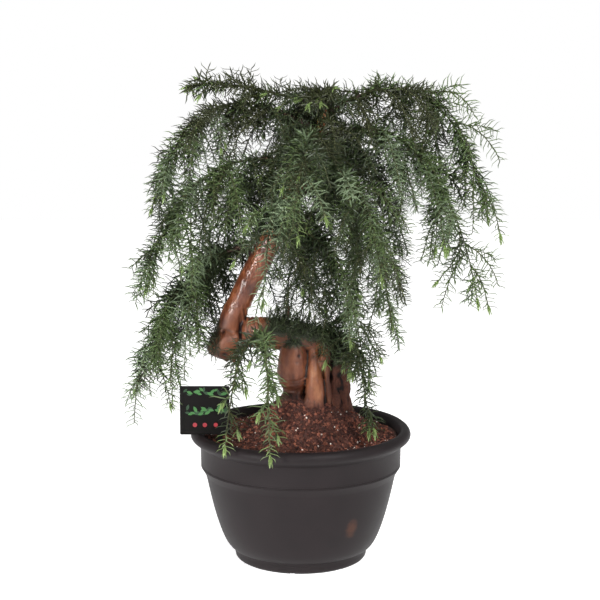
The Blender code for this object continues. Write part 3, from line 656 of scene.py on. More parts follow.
# %% Stems of the old wood
# each stem: points of its axis, and its radius at each
STEMS = (
    # the round left stem of the stump, pinched above its lower bulb
    (((-0.008, -0.004, 0.196), (-0.009, -0.006, 0.225), (-0.0095, -0.007, 0.24),
      (-0.01, -0.008, 0.251), (-0.0107, -0.009, 0.261), (-0.0107, -0.01, 0.272),
      (-0.0107, -0.01, 0.286), (-0.0107, -0.01, 0.301), (-0.0105, -0.009, 0.32),
      (-0.01, -0.003, 0.338)),
     (0.022, 0.015, 0.013, 0.013, 0.0165, 0.0224, 0.025, 0.0232, 0.02, 0.018)),
    # the smooth column in front
    (((0.0205, -0.021, 0.196), (0.0205, -0.023, 0.225), (0.021, -0.025, 0.242),
      (0.021, -0.0255, 0.258), (0.0207, -0.025, 0.272), (0.02, -0.0235, 0.286),
      (0.0195, -0.0205, 0.3), (0.019, -0.015, 0.315), (0.0185, -0.008, 0.33)),
     (0.02, 0.0155, 0.0143, 0.0142, 0.0132, 0.0112, 0.0088, 0.0078, 0.008)),
    # the twisted tan wood above it and the thin ridge beside it
    (((0.027, -0.02, 0.29), (0.033, -0.0215, 0.303), (0.038, -0.019, 0.317),
      (0.035, -0.012, 0.332)),
     (0.0045, 0.008, 0.0078, 0.008)),
    (((0.04, -0.018, 0.236), (0.0395, -0.0215, 0.255), (0.039, -0.022, 0.275),
      (0.0375, -0.0205, 0.297)),
     (0.006, 0.0042, 0.0038, 0.005)),
    # the old fibrous right side
    (((0.057, 0.0, 0.194), (0.057, 0.0, 0.22), (0.056, 0.0, 0.24), (0.055, 0.0, 0.26),
      (0.0545, 0.0, 0.28), (0.054, 0.0, 0.3), (0.053, 0.0, 0.322), (0.05, 0.0, 0.336)),
     (0.024, 0.019, 0.0172, 0.017, 0.0168, 0.0185, 0.0215, 0.018)),
    (((0.053, -0.02, 0.196), (0.052, -0.0165, 0.235), (0.0515, -0.0155, 0.262),
      (0.053, -0.013, 0.29), (0.05, -0.012, 0.318)),
     (0.013, 0.006, 0.0052, 0.006, 0.009)),
    (((0.07, -0.016, 0.19), (0.068, -0.014, 0.212), (0.0655, -0.011, 0.24), (0.064, -0.009, 0.275)),
     (0.01, 0.0078, 0.007, 0.007)),
    # the core that holds them together
    (((0.026, 0.014, 0.194), (0.024, 0.02, 0.24), (0.024, 0.02, 0.29), (0.024, 0.006, 0.326)),
     (0.04, 0.031, 0.033, 0.026)),
    # the arm, its lost twigs, and the knob with its stubs
    (((0.04, 0.0, 0.328), (0.01, 0.0, 0.334), (-0.03, 0.0, 0.34), (-0.06, 0.0, 0.3435),
      (-0.084, 0.0, 0.3435)),
     (0.017, 0.0225, 0.023, 0.0238, 0.0225)),
    (((-0.0225, 0.004, 0.352), (-0.0205, 0.005, 0.371), (-0.0195, 0.006, 0.384)),
     (0.006, 0.0036, 0.0026)),
    (((0.001, -0.006, 0.348), (0.003, -0.008, 0.36)), (0.0055, 0.0032)),
    (((-0.092, 0.0, 0.34), (-0.101, 0.0, 0.3335), (-0.111, -0.001, 0.33), (-0.12, -0.001, 0.332),
      (-0.1265, -0.001, 0.337)),
     (0.0205, 0.0256, 0.028, 0.0262, 0.02)),
    (((-0.101, -0.006, 0.312), (-0.0995, -0.008, 0.3035), (-0.0985, -0.009, 0.2995)),
     (0.005, 0.0028, 0.0014)),
    (((-0.11, -0.006, 0.309), (-0.1105, -0.008, 0.301)), (0.005, 0.0022)),
)
print("stems:", len(STEMS))

# %% The slanting trunk
UPPER_FOOT = Vector((-0.1110, 0.0, 0.3350))
UPPER_HANDLES = (Vector((-0.0950, 0.0, 0.4100)), Vector((0.0050, 0.0, 0.5400)))
UPPER_TOP = Vector((0.0380, 0.0, 0.6860))
UPPER_FOOT_RADIUS = 0.0182
UPPER_TOP_RADIUS = 0.0036
UPPER_TAPER = 2.6


def upper_point(place):
    """A point on the slanting trunk's axis, 0 at its foot and 1 at its top."""
    return bezier([UPPER_FOOT, *UPPER_HANDLES, UPPER_TOP], place)


def upper_radius(place):
    """Radius of the slanting trunk."""
    return UPPER_TOP_RADIUS + (UPPER_FOOT_RADIUS - UPPER_TOP_RADIUS) * (1 - place ** UPPER_TAPER)


# %% Tubes
def add_tube(bm, points, radii, sides=20):
    """A closed tapering tube with rounded ends along a row of points."""
    ahead = [(b - a).normalized() for a, b in zip(points, points[1:])]
    ahead.append(ahead[-1])
    angles = [math.tau * i / sides for i in range(sides)]
    circle = [Vector((math.cos(angle), math.sin(angle), 0)) for angle in angles]
    turn = Vector((0, 0, 1)).rotation_difference(ahead[0]).to_matrix()
    rings = []
    for index, (point, radius) in enumerate(zip(points, radii)):
        if index:
            turn = ahead[index - 1].rotation_difference(ahead[index]).to_matrix() @ turn
        rings.append([bm.verts.new(point + turn @ spot * radius) for spot in circle])
    for low, high in zip(rings, rings[1:]):
        for i in range(sides):
            bm.faces.new((low[i - 1], low[i], high[i], high[i - 1]))
    for ring, end, sign in ((rings[0], points[0] - ahead[0] * radii[0] * 0.4, -1),
                            (rings[-1], points[-1] + ahead[-1] * radii[-1] * 0.4, 1)):
        tip = bm.verts.new(end)
        for i in range(sides):
            corners = (ring[i - 1], ring[i], tip)
            bm.faces.new(corners if sign > 0 else corners[::-1])


def smooth_row(points, radii, count):
    """A smooth curve through the points of a stem, with the radius carried along."""
    rows = [Vector(p) for p in points]
    places, widths = [], []
    for step in range(count + 1):
        at = step / count * (len(rows) - 1)
        i = min(int(at), len(rows) - 2)
        f = at - i
        before, after = rows[max(i - 1, 0)], rows[min(i + 2, len(rows) - 1)]
        a, b = rows[i], rows[i + 1]
        places.append(0.5 * (2 * a + (b - before) * f + (2 * before - 5 * a + 4 * b - after) * f * f
                             + (3 * a - before - 3 * b + after) * f ** 3))
        ease = f * f * (3 - 2 * f)
        widths.append(radii[i] + (radii[i + 1] - radii[i]) * ease)
    return places, widths


# %% Melt the stems into one skin
STEM_STEPS = 24
VOXEL = 0.0013
bm = bmesh.new()
for points, radii in STEMS:
    add_tube(bm, *smooth_row(points, radii, STEM_STEPS))
shares = [step / 60 for step in range(61)]
add_tube(bm, [upper_point(share) for share in shares], [upper_radius(share) for share in shares])
wood = add_object("old_wood", mesh_of(bm, "old_wood"))
remesh = wood.modifiers.new("skin", "REMESH")
remesh.mode = "VOXEL"
remesh.voxel_size = VOXEL
melt = wood.modifiers.new("melt", "SMOOTH")
melt.factor = 0.5
melt.iterations = 6
settle(wood)
print("skin:", len(wood.data.vertices), "corners")

# %% [markdown]
# ### Bark relief
#
# A relief that is carved into the mesh shows on the outline and in every view.  Each rule gives
# a height along the surface's normal: fibres and lumps on the old right side and round the foot,
# ring ridges on the arm, wrinkles on the waist of the left stem, soft lengthwise folds on the
# slanting trunk, and pits where branches were lost.  Three attributes remember what each place
# is.  The first is rough with old bark, and the arm, the knob and the left stem also take a share
# of it as painted shade of their side.  The second is mossy.  The third is painted shade: dark in
# creases, in the pits and under the left stem's bulb.  The bark material reads them.

# %% Rules of the relief
# pits: middle, radius, depth
PITS = (
    ((-0.0030, -0.0280, 0.3130), 0.0022, 0.0030), ((-0.0055, -0.0300, 0.3040), 0.0018, 0.0026),
    ((0.0450, -0.016, 0.2980), 0.0050, 0.0090), ((0.0590, -0.018, 0.2820), 0.0045, 0.0050),
    ((0.0640, -0.016, 0.3080), 0.0045, 0.0050), ((0.0600, -0.020, 0.2600), 0.0040, 0.0050),
    ((-0.1130, -0.0250, 0.3130), 0.0040, 0.0016), ((-0.0905, -0.018, 0.3300), 0.0045, 0.0030),
)
LEFT_SHADE = 0.28                # how far the arm, the knob and the left stem are darkened and dulled toward old bark, as painted shade of their side
CREASE_FROM = 0.000012      # depth below the neighbours at which painted shade starts in a crease
CREASE_FULL = 0.000075


def within(value, low, high, soft):
    """1 between two limits, fading to 0 over a soft edge."""
    rise = min(max((value - low) / soft + 0.5, 0.0), 1.0)
    drop = min(max((high - value) / soft + 0.5, 0.0), 1.0)
    return rise * drop


def patch(place, x, z):
    """1 inside a box seen from the front; x and z are its limits and a soft edge."""
    return within(place.x, *x) * within(place.z, *z)


def fibres(place, across, along):
    """Noise drawn out along Z, with sharp crests and wide valleys."""
    spot = Vector((place.x * across, place.y * across, place.z * along))
    return 1 - 2 * abs(noise.noise(spot)) - 0.4


def wave(at, length, place, stray, scale):
    """A sine wave of a length, led astray by noise."""
    return math.sin(math.tau * (at + stray * noise.noise(place * scale)) / length)


def relief(place, normal):
    """Height, old bark with the left side's painted shade, moss, and painted shade of hollows at one place
    on the old wood.
    """
    stump = patch(place, (-0.045, 1.0, 0.01), (0.0, 0.345, 0.01))
    old = stump * within(place.x + 0.35 * place.y, 0.0315, 1.0, 0.008)
    root = stump * max(within(place.z, 0.0, 0.246, 0.016),
                       patch(place, (-1.0, 0.001, 0.01), (0.0, 0.256, 0.01)))
    rough = max(old, root)
    height = lumps(place, 130, 0.0004) + lumps(place, 45, 0.0007)
    height += rough * (fibres(place, 95, 20) * 0.0036 + fibres(place, 230, 60) * 0.0016
                       + lumps(place, 60, 0.0042))
    arm = patch(place, (-0.090, -0.030, 0.012), (0.30, 0.385, 0.02))
    ring = wave(place.x + 0.15 * place.z, 0.0062, place, 0.002, 50)
    height += arm * within(place.x, -0.090, -0.056, 0.008) * ring * 0.0008
    slanting = within(place.z, 0.372, 1.0, 0.02)
    height += slanting * (fibres(place, 150, 14) * 0.0004 + lumps(place, 22, 0.0006))
    height += slanting * max(wave(place.z, 0.021, place, 0.004, 30), 0.0) ** 8 * 0.0004
    wrinkle = wave(place.z - 0.25 * place.x, 0.0052, place, 0.003, 60)
    waist = patch(place, (-0.05, 0.010, 0.004), (0.250, 0.282, 0.008))
    height += waist * (wrinkle * 0.0003 + lumps(place, 120, 0.0010))
    joint = within(abs(place.x + 0.0895), -1.0, 0.0014, 0.003)
    height -= joint * within(place.z, 0.28, 0.372, 0.01) * 0.0022
    # painted shade under the left stem's bulb, and in each pit below
    hollow = 0.6 * patch(place, (-0.05, 0.009, 0.006), (0.238, 0.262, 0.010))
    for middle, radius, depth in PITS:
        reach = (place - Vector(middle)).length / radius
        if reach < 2.2:
            fall = math.exp(-reach * reach)
            height -= depth * fall
            hollow = max(hollow, min(1.0, fall * 1.6))
    up = within(normal.z, 0.05, 2.0, 0.5)
    moss = max(patch(place, (-0.052, 0.075, 0.02), (0.325, 0.40, 0.012)) * max(up, 0.35),
               patch(place, (0.045, 0.1, 0.012), (0.296, 0.36, 0.02)) * 0.9,
               patch(place, (-0.15, -0.118, 0.008), (0.31, 0.37, 0.01)) * 0.6)
    # painted shade: the left stem, the arm and the knob take some of the old bark's dark, dull colour as the
    # shade of their side
    shaded_left = patch(place, (-1.0, 0.008, 0.006), (0.25, 0.376, 0.012))
    return height, max(rough, LEFT_SHADE * shaded_left), moss, hollow


# %% Carve the relief
def creases(mesh):
    """How far each corner lies in a crease, 0 to 1: its neighbours stand out beyond it."""
    count = len(mesh.vertices)
    places, normals = np.empty(count * 3), np.empty(count * 3)
    mesh.vertices.foreach_get("co", places)
    mesh.vertices.foreach_get("normal", normals)
    places, normals = places.reshape(-1, 3), normals.reshape(-1, 3)
    ends = np.empty(len(mesh.edges) * 2, int)
    mesh.edges.foreach_get("vertices", ends)
    a, b = ends.reshape(-1, 2).T
    links = np.bincount(a, minlength=count) + np.bincount(b, minlength=count)

    def mean_of(values):
        return (np.bincount(a, values[b], count) + np.bincount(b, values[a], count)) / links

    mean = np.stack([mean_of(places[:, axis]) for axis in range(3)], axis=1)
    depth = ((mean - places) * normals).sum(axis=1)
    for _ in range(3):
        depth = mean_of(depth)
    return np.clip((depth - CREASE_FROM) / (CREASE_FULL - CREASE_FROM), 0.0, 1.0)


def carve(thing):
    """Move each corner along its normal by the relief, and store its old bark, moss and painted shade."""
    mesh = thing.data
    normals = [corner.normal.copy() for corner in mesh.vertices]
    rows = [relief(corner.co, normal) for corner, normal in zip(mesh.vertices, normals)]
    places = []
    for corner, normal, row in zip(mesh.vertices, normals, rows):
        places.extend(corner.co + normal * row[0])
    mesh.vertices.foreach_set("co", places)
    mesh.update()
    marks = np.array([row[1:] for row in rows])
    # creases get painted shade too
    marks[:, 2] = np.maximum(marks[:, 2], creases(mesh))
    for column, name in enumerate(("rough", "moss", "hollow")):
        layer = mesh.attributes.new(name, "FLOAT", "POINT")
        layer.data.foreach_set("value", marks[:, column])
    mesh.shade_smooth()


carve(wood)

# %% [markdown]
# ### Coppery bark
#
# Young araucaria bark is smooth, thin and waxy and catches long highlights.  It is tan where a
# layer has peeled and red-brown below, and old fibrous parts are darker and dull.  Creases, pits
# and the undercut of the left stem are darkened with painted shade, and the arm, the knob and the
# left stem take a share of the old bark's colour as painted shade of their side.  Noise with a
# scale of a few centimetres lays the tones, and fine noise of about a millimetre breaks the gloss.
# The darker coats are laid over it one by one, each where its attribute is strong.

# %% Bark material
BARK_TONES = ((0.34, "34170c"), (0.45, "5c2f1b"), (0.58, "80492c"), (0.72, "9f6a46"))


def coppery_bark():
    """Waxy copper bark; old bark, with the left side's painted shade, turns it dull, moss green, and painted
    shade dark.
    """
    material = new_material("waxy coppery bark", "8a4a2e", 0.4)
    node = partial(add_node, material.node_tree)
    place = node("ShaderNodeTexCoord").outputs["Object"]
    drawn = node("ShaderNodeMapping", {"Vector": place, "Scale": (1.0, 1.0, 0.45)})
    broad = node("ShaderNodeTexNoise",
                 {"Vector": drawn, "Scale": 42.0, "Detail": 6.0, "Roughness": 0.6})
    ramp = node("ShaderNodeValToRGB", {"Fac": broad})
    stops = ramp.color_ramp.elements
    stops[0].position, stops[1].position = BARK_TONES[0][0], BARK_TONES[-1][0]
    for at, _ in BARK_TONES[1:-1]:
        stops.new(at)
    for stop, (_, colour) in zip(stops, BARK_TONES):
        stop.color = linear(colour)
    rough, moss, hollow = (node("ShaderNodeAttribute", attribute_name=name).outputs["Fac"]
                           for name in ("rough", "moss", "hollow"))
    fine = node("ShaderNodeTexNoise", {"Vector": place, "Scale": 300.0, "Detail": 5.0})
    old = node("ShaderNodeMix", {0: fine, 6: linear("24100b"), 7: linear("6a3a28")},
               data_type="RGBA")
    ragged = node("ShaderNodeMath", {0: moss, 1: fine}, operation="MULTIPLY")
    grown = node("ShaderNodeMapRange", {"Value": ragged, "From Min": 0.12, "From Max": 0.34})
    flow = ramp.outputs["Color"]
    # coats: old bark, which also lays the left side's painted shade; moss; and near-black painted shade in
    # creases and pits
    for share, coat in ((rough, old.outputs[2]), (grown, linear("1e2411")),
                        (hollow, linear("160907"))):
        flow = node("ShaderNodeMix", {0: share, 6: flow, 7: coat}, data_type="RGBA").outputs[2]
    dull = node("ShaderNodeMath", {0: rough, 1: moss}, operation="MAXIMUM")
    gloss = node("ShaderNodeMapRange", {"Value": dull, "To Min": 0.36, "To Max": 0.85})
    bump = node("ShaderNodeBump", {"Height": fine, "Strength": 0.35, "Distance": 0.0006})
    dress(material, {"Base Color": flow, "Roughness": gloss, "Normal": bump})
    return material


wood.data.materials.append(coppery_bark())
hand_in(wood, "old_bark", "trunk_stump", "trunk_arm", "trunk_upper")

# %% [markdown]
# ## Lines of growth
#
# Every bough follows an arch: out and up from the trunk, over its crest, and down.  Side shoots
# leave it on both sides and droop, more hang from its whole length, and all of them fork.  The
# lower boughs are more open, the outermost sprays fork less, and none hangs before the foot of
# the slanting trunk, where a grower ties them aside to show the bark.  The rule works from one
# table of named sizes and one seed per bough, so the crown is the same on every run.

# %% The table of boughs
Limb = namedtuple("Limb", "name place heading reach lift fall bare spread pairs hang")
# place: on the slanting trunk, 0 foot to 1 top; heading: degrees, 0 right, 90 back
# reach: level distance to the tip; lift, fall: crest and tip above the foot
# bare: share that is plain bough; spread: longest side shoot; hang: its droop
LIMBS = (
    Limb("top_left", 0.975, 183, 0.197, 0.050, 0.032, 0.16, 0.046, 3, 0.30),
    Limb("top_right", 0.945, 4, 0.245, 0.132, -0.150, 0.14, 0.130, 4, 0.80),
    Limb("top_back", 0.920, 96, 0.190, 0.085, -0.110, 0.14, 0.120, 4, 0.75),
    Limb("upper_left", 0.895, 172, 0.250, 0.122, -0.118, 0.15, 0.125, 4, 0.80),
    Limb("upper_right", 0.870, 359, 0.240, 0.080, -0.240, 0.15, 0.130, 4, 0.80),
    Limb("upper_front", 0.840, 262, 0.150, 0.070, -0.110, 0.16, 0.110, 3, 0.70),
    Limb("upper_back_right", 0.805, 48, 0.200, 0.065, -0.150, 0.16, 0.120, 3, 0.80),
    Limb("middle_left", 0.770, 192, 0.236, 0.066, -0.172, 0.20, 0.130, 4, 0.85),
    Limb("middle_front", 0.735, 312, 0.170, 0.060, -0.130, 0.20, 0.115, 3, 0.75),
    Limb("middle_back", 0.700, 134, 0.200, 0.050, -0.170, 0.20, 0.115, 3, 0.80),
    Limb("middle_right", 0.665, 14, 0.155, 0.070, -0.200, 0.20, 0.130, 4, 0.85),
    Limb("lower_front", 0.625, 255, 0.130, 0.045, -0.120, 0.22, 0.090, 3, 0.60),
    Limb("lower_back", 0.585, 75, 0.160, 0.040, -0.170, 0.20, 0.120, 4, 0.80),
    Limb("lower_right", 0.540, 350, 0.130, 0.020, -0.190, 0.25, 0.115, 3, 0.80),
    Limb("lower_left", 0.490, 183, 0.202, -0.010, -0.222, 0.20, 0.140, 4, 0.90),
    Limb("lower_back_left", 0.430, 150, 0.150, 0.030, -0.150, 0.20, 0.110, 3, 0.80),
)
Spur = namedtuple("Spur", "name foot heading reach lift fall spread pairs hang")
SPURS = (
    Spur("apex", Vector((0.0378, 0.0, 0.685)), 250, 0.042, 0.026, 0.006, 0.07, 3, 0.2),
    Spur("arm_left", Vector((-0.056, -0.015, 0.344)), 250, 0.15, 0.02, -0.138, 0.048, 2, 0.9),
    Spur("arm_right", Vector((-0.058, -0.015, 0.344)), 275, 0.172, 0.024, -0.144, 0.05, 2, 0.9),
    Spur("stump_right", Vector((0.06, -0.02, 0.333)), 302, 0.072, 0.04, -0.122, 0.055, 3, 0.8),
    Spur("stump_top", Vector((0.03, 0.0, 0.338)), 20, 0.035, 0.03, 0.026, 0.035, 1, 0.0),
)
print("boughs:", len(LIMBS), "spurs:", len(SPURS))

# %% Arches and side shoots
CREST_SHARE = 0.74
BARE_OVER = 1.15            # the wood of a bough runs on this far past its bare share
ROLL = math.radians(65)


def arch(foot, heading, reach, lift, fall):
    """Control points of an arching path: out and up, over its crest, and down."""
    out = Vector((math.cos(math.radians(heading)), math.sin(math.radians(heading)), 0))
    crest = foot + out * reach * CREST_SHARE + Vector((0, 0, lift))
    return [foot, crest, foot + out * reach + Vector((0, 0, fall))]


def leave(course, place):
    """The point at one place of a course, and the direction of the course there."""
    ahead = bezier(course, min(place + 0.02, 1.0)) - bezier(course, place - 0.02)
    return bezier(course, place), ahead.normalized()


def course_of(limb):
    """The arch of a bough or a spur, which starts at its foot."""
    foot = upper_point(limb.place) if isinstance(limb, Limb) else limb.foot
    return arch(foot, limb.heading, limb.reach, limb.lift, limb.fall)


def side_course(course, place, side, limb, length, sway, roll):
    """Control points of a side shoot: out from the stem, forward and down."""
    foot, ahead = leave(course, place)
    heading = math.radians(limb.heading)
    across = Matrix.Rotation(roll, 3, ahead) @ Vector((math.sin(heading), -math.cos(heading), 0))
    aim = ahead * (0.60 + 0.35 * sway) + across * side * 0.75
    aim.z += 0.30 * (1 - limb.hang)
    aim.normalize()
    droop = limb.hang * (1 + 0.2 * sway) * length
    middle = foot + aim * length * 0.50
    tip = foot + aim * length * (0.85 - 0.2 * max(limb.hang, 0)) + Vector((0, 0, -droop * 0.62))
    return [foot, middle, tip]


def hanging_course(course, place, turn, limb, length):
    """Control points of a pendulous shoot: a little out to any side, then down."""
    foot, ahead = leave(course, place)
    hang = max(limb.hang, 0.0)
    flat = Vector((math.cos(turn), math.sin(turn), 0.0))
    aim = (ahead * 0.55 + flat * (0.75 * hang + 0.25)).normalized() * length
    middle = foot + aim * (0.50 - 0.15 * hang) + Vector((0, 0, 0.03 * length))
    tip = foot + aim * (0.95 - 0.40 * hang) + Vector((0, 0, -0.90 * hang * length))
    return [foot, middle, tip]


def fork_course(course, place, turn, limb, length):
    """Control points of a fork, which leaves its shoot on any side and runs along it."""
    foot, ahead = leave(course, place)
    across = Matrix.Rotation(turn, 3, ahead) @ ahead.orthogonal().normalized()
    aim = (ahead + across * 0.62).normalized()
    middle = foot + aim * length * 0.50
    tip = middle + (aim + ahead).normalized() * length * 0.45
    return [foot, middle, tip + Vector((0, 0, -max(limb.hang, 0.0) * length * 0.25))]


# %% [markdown]
# ### Shoots of one mass
#
# A shoot is kept as a row of points with a thickness, a needle size, the distance at which its
# needles stand off the line, and a tone.  The tone is dealt by spray: a side shoot and its forks
# share one, and the new growth at each end has its own.  Old boughs and the top of the trunk
# keep their needles, so they get rows of needles that stand on their bark, and short shoots.

# %% Sizes of the shoots
TONES = ("glaucous", "green", "shaded", "olive", "fresh")
GLAUCOUS, GREEN, SHADED, OLIVE, FRESH = range(len(TONES))
Shoot = namedtuple("Shoot", "points thick thin needle tone claw stand", defaults=(False, None))
SPIRAL = 2.4                # radians from one piece to the next round a stem
STEP = 0.0050               # distance between the points of a shoot
WANDER = 0.0013             # how far a shoot strays from its even curve
TRUNK_ROWS = 6              # rows of needles on the bark of the trunk
TRUNK_ROWS_FROM = 0.74      # place on the slanting trunk
UPRIGHTS = 5                # short shoots on the upper side of a bough
SLEEVES = 2                 # rows of needles on the bark of a bough
SLEEVE_SHARE = 0.28         # of the bough
INNER_SHOOTS = 34           # short shoots round the top of the trunk
LOW_NEEDLES = 1.22          # size of the needles on the low sprays, against those of the crown
LEADER_NEEDLES = 1.18       # and on the leader of each mass
STEM_WOOD = (0.0019, 0.0008)    # radius at the foot and at the tip
SIDE_WOOD = (0.0011, 0.0006)
FORK_WOOD = (0.0007, 0.0005)
INNER_WOOD = (0.0009, 0.0006)
ROW_WOOD = (0.0006, 0.0006)
FORK_EVERY = 0.034          # length of side shoot to a fork
CLAWED = 0.16               # share of a bough's side shoots that end in a claw
CLAWED_LOW = 0.7            # and of the low sprays' side shoots
CLAWED_FORKS = 0.03
NEEDLE_SPACING = 0.0024     # along a shoot
CROWN_TOP_Z = 0.738
CROWN_MIDDLE = 0.02         # in x
OUTER_FROM = 0.15           # sprays this far out from the middle fork less, as clean feathers
OUTER_NEEDLES = 1.15        # and their needles are this much longer
OPEN_BELOW = 0.72           # place on the slanting trunk below which the boughs are more open
TOP_FROM = 0.91             # place on the slanting trunk above which the boughs make the top
OLIVE_Z = 0.64              # above this, sprays are mostly olive
GLAUCOUS_Z = 0.66           # above this, none is glaucous
INSIDE = 0.10               # a spray this near its bough's foot is inside the crown
PARTED = 0.37               # of the trunk's height, free of sprays in front
TIED_ASIDE = 0.9            # share of the sprays before it that are left out
PARTING = 0.022             # half the width of the gap


# %% Lines, tones and rows of needles
def wandering(course, start, stray, seed):
    """Points along a course, a step apart, straying a little as a grown shoot does."""
    rough = [bezier(course, start + (1 - start) * i / 12) for i in range(13)]
    length = sum((b - a).length for a, b in zip(rough, rough[1:]))
    count = max(4, round(length / STEP))
    points = []
    for i in range(count + 1):
        share = i / count
        point = bezier(course, start + (1 - start) * share)
        shift = Vector((noise.noise(Vector((seed * 97 + axis * 31, share * length * 22, 0.0)))
                        for axis in range(3)))
        points.append(point + shift * stray * min(1.0, share * 4))
    return points, length


def deal_tone(dice, height, outer):
    """The tone of one spray: darker inside the crown and on its top, as painted shade, and mostly olive on
    the top.
    """
    if height > OLIVE_Z and dice.random() < 0.60:
        return OLIVE
    chance = dice.random()
    if outer < INSIDE:
        return SHADED if chance < 0.60 else (OLIVE if chance < 0.80 else GREEN)
    if chance < 0.30:
        return GLAUCOUS if height < GLAUCOUS_Z else SHADED
    if chance < 0.74:
        return GREEN
    return SHADED if chance < 0.90 else OLIVE


def bough_radius(limb, share):
    """Radius of a bough, by share of its whole length."""
    foot = min(0.0072, upper_radius(limb.place) * 0.72)
    return foot + (0.0026 - foot) * min(share / (limb.bare * BARE_OVER), 1.0)


def bark_rows(count, steps, start, end, point_at, radius_at, needle, dice):
    """Rows of needles that stand on old bark, from one share of its length to another."""
    rows = []
    for number in range(count):
        shares = [start + (end - start) * (i + number / count) / steps for i in range(steps)]
        # dark tones as painted shade inside the crown
        tone = OLIVE if dice.random() < 0.4 else SHADED
        rows.append(Shoot([point_at(share) for share in shares], *ROW_WOOD, needle, tone,
                          stand=[0.9 * radius_at(share) for share in shares]))
    return rows


# %% Short shoots and hanging sprays
def before_trunk(points):
    """Whether a shoot hangs in front of the trunk's foot, where the sprays are tied aside."""
    for point in points[1:]:
        place = (point.z - UPPER_FOOT.z) / (UPPER_TOP.z - UPPER_FOOT.z)
        if point.y < 0.02 and -0.05 < place < PARTED:
            near = min(abs(point.x - upper_point(place * share).x) for share in (0.85, 1.0, 1.15))
            if near < PARTING:
                return True
    return False


def inner_shoots(dice):
    """Short shoots that leave the top of the trunk on every side."""
    shoots = []
    for number in range(INNER_SHOOTS):
        place = TRUNK_ROWS_FROM + (1 - TRUNK_ROWS_FROM) * (number + 0.5) / INNER_SHOOTS
        rise = min(0.028, CROWN_TOP_Z - upper_point(place).z)
        path = arch(upper_point(place), math.degrees(number * SPIRAL), dice.uniform(0.045, 0.095),
                    rise, rise - dice.uniform(0.010, 0.060))
        points, _ = wandering(path, 0.05, WANDER, dice.random())
        # dark tones as painted shade inside the crown
        tone = OLIVE if dice.random() < 0.5 else SHADED
        shoots.append(Shoot(points, *INNER_WOOD, 0.95, tone))
    return shoots


# %% Sprays of a stem
def side_paths(limb, course, dice, fine):
    """Courses of all side shoots of a stem: pairs that spread, and more that hang."""
    bough = isinstance(limb, Limb)
    start = limb.bare if bough else 0.0
    total = limb.pairs * 2
    paths = []
    for number in range(total):
        share = (number + 0.8) / (total + 0.8)
        full = limb.spread * (0.62 + 0.38 * math.sin(math.pi * min(share * 1.25, 1.0)))
        if not bough:
            full *= 0.75
        dice.random()       # one draw is spare
        sway, roll = dice.uniform(-1, 1), dice.uniform(-ROLL, ROLL)
        paths.append(side_course(course, start + (1 - start) * share * 0.93,
                                 1 if number % 2 else -1, limb, full, sway, roll))
    hanging = total * ((4 if limb.place > OPEN_BELOW else 3) if bough else 1)
    for number in range(hanging):
        share = ((number + 0.5) / hanging) ** 1.25
        full = limb.spread * fine.uniform(0.45, 1.10) * (1 - 0.50 * share)
        turn = fine.uniform(-math.pi, math.pi)
        paths.append(hanging_course(course, 0.10 + 0.86 * share, turn, limb, full))
    return paths


def spray(limb, path, foot, size, fine):
    """A side shoot and its forks, or nothing where it would hang before the trunk."""
    bough = isinstance(limb, Limb)
    points, length = wandering(path, 0.0, WANDER, fine.random())
    if bough and before_trunk(points) and fine.random() < TIED_ASIDE:
        return []
    middle = points[len(points) // 2]
    tone = deal_tone(fine, middle.z, math.hypot(middle.x - foot.x, middle.y))
    strong = fine.random() < (CLAWED if bough else CLAWED_LOW)
    outer = abs(middle.x - CROWN_MIDDLE) > OUTER_FROM
    needle = size * (OUTER_NEEDLES if outer else 1.0)
    shoots = [Shoot(points, *SIDE_WOOD, needle, tone, strong)]
    count = int(length / FORK_EVERY)
    for number in range(count):
        share = (number + 0.6) / count
        fork = (0.36 * length * (1 - share * 0.5) + 0.010) * fine.uniform(0.75, 1.15)
        turn = number * SPIRAL + fine.uniform(0, 1)
        points, _ = wandering(fork_course(path, share * 0.88, turn, limb, fork), 0.0,
                              WANDER * 0.5, fine.random())
        if bough and (before_trunk(points) or outer and number % 2):
            continue
        shoots.append(Shoot(points, *FORK_WOOD, 0.92 * needle, tone,
                            fine.random() < CLAWED_FORKS))
    return shoots


def uprights(limb, course, tone, fine):
    """Short shoots on the upper side of a bough, taller where it makes the crown's top."""
    taller, needle = (1.3, 1.0) if limb.place > TOP_FROM else (1.0, 0.75)
    shoots = []
    for _ in range(UPRIGHTS):
        foot = bezier(course, fine.uniform(0.15, 0.85))
        lean = Vector((fine.uniform(-1, 1), fine.uniform(-1, 1), 2.0)).normalized()
        height = fine.uniform(0.010, 0.022) * taller
        points = [foot + lean * height * i / 4 for i in range(5)]
        shoots.append(Shoot(points, *FORK_WOOD, needle, tone))
    return shoots


# %% All shoots of a mass
def shoots_of(limb):
    """All shoots of one mass: its stem, the sprays of its sides, and what stands on a bough."""
    bough = isinstance(limb, Limb)
    course = course_of(limb)
    foot = course[0]
    dice = random.Random(f"{SEED} shoots {limb.name}")
    fine = random.Random(f"{SEED} twigs {limb.name}")
    clear = 1.25 * upper_radius(limb.place) / limb.reach if bough else 0.0
    points, _ = wandering(course, clear, WANDER, fine.random())
    tone = deal_tone(fine, points[len(points) // 2].z, limb.reach)
    size = LOW_NEEDLES if foot.z < UPPER_FOOT.z + 0.02 else 1.0
    shoots = [Shoot(points, *STEM_WOOD, LEADER_NEEDLES if bough else size, tone, True)]
    if bough:
        shoots += bark_rows(SLEEVES, 30, clear, SLEEVE_SHARE, partial(bezier, course),
                            partial(bough_radius, limb), 0.85, fine)
    for path in side_paths(limb, course, dice, fine):
        shoots += spray(limb, path, foot, size, fine)
    if bough:
        shoots += uprights(limb, course, shoots[-1].tone, fine)
    return shoots


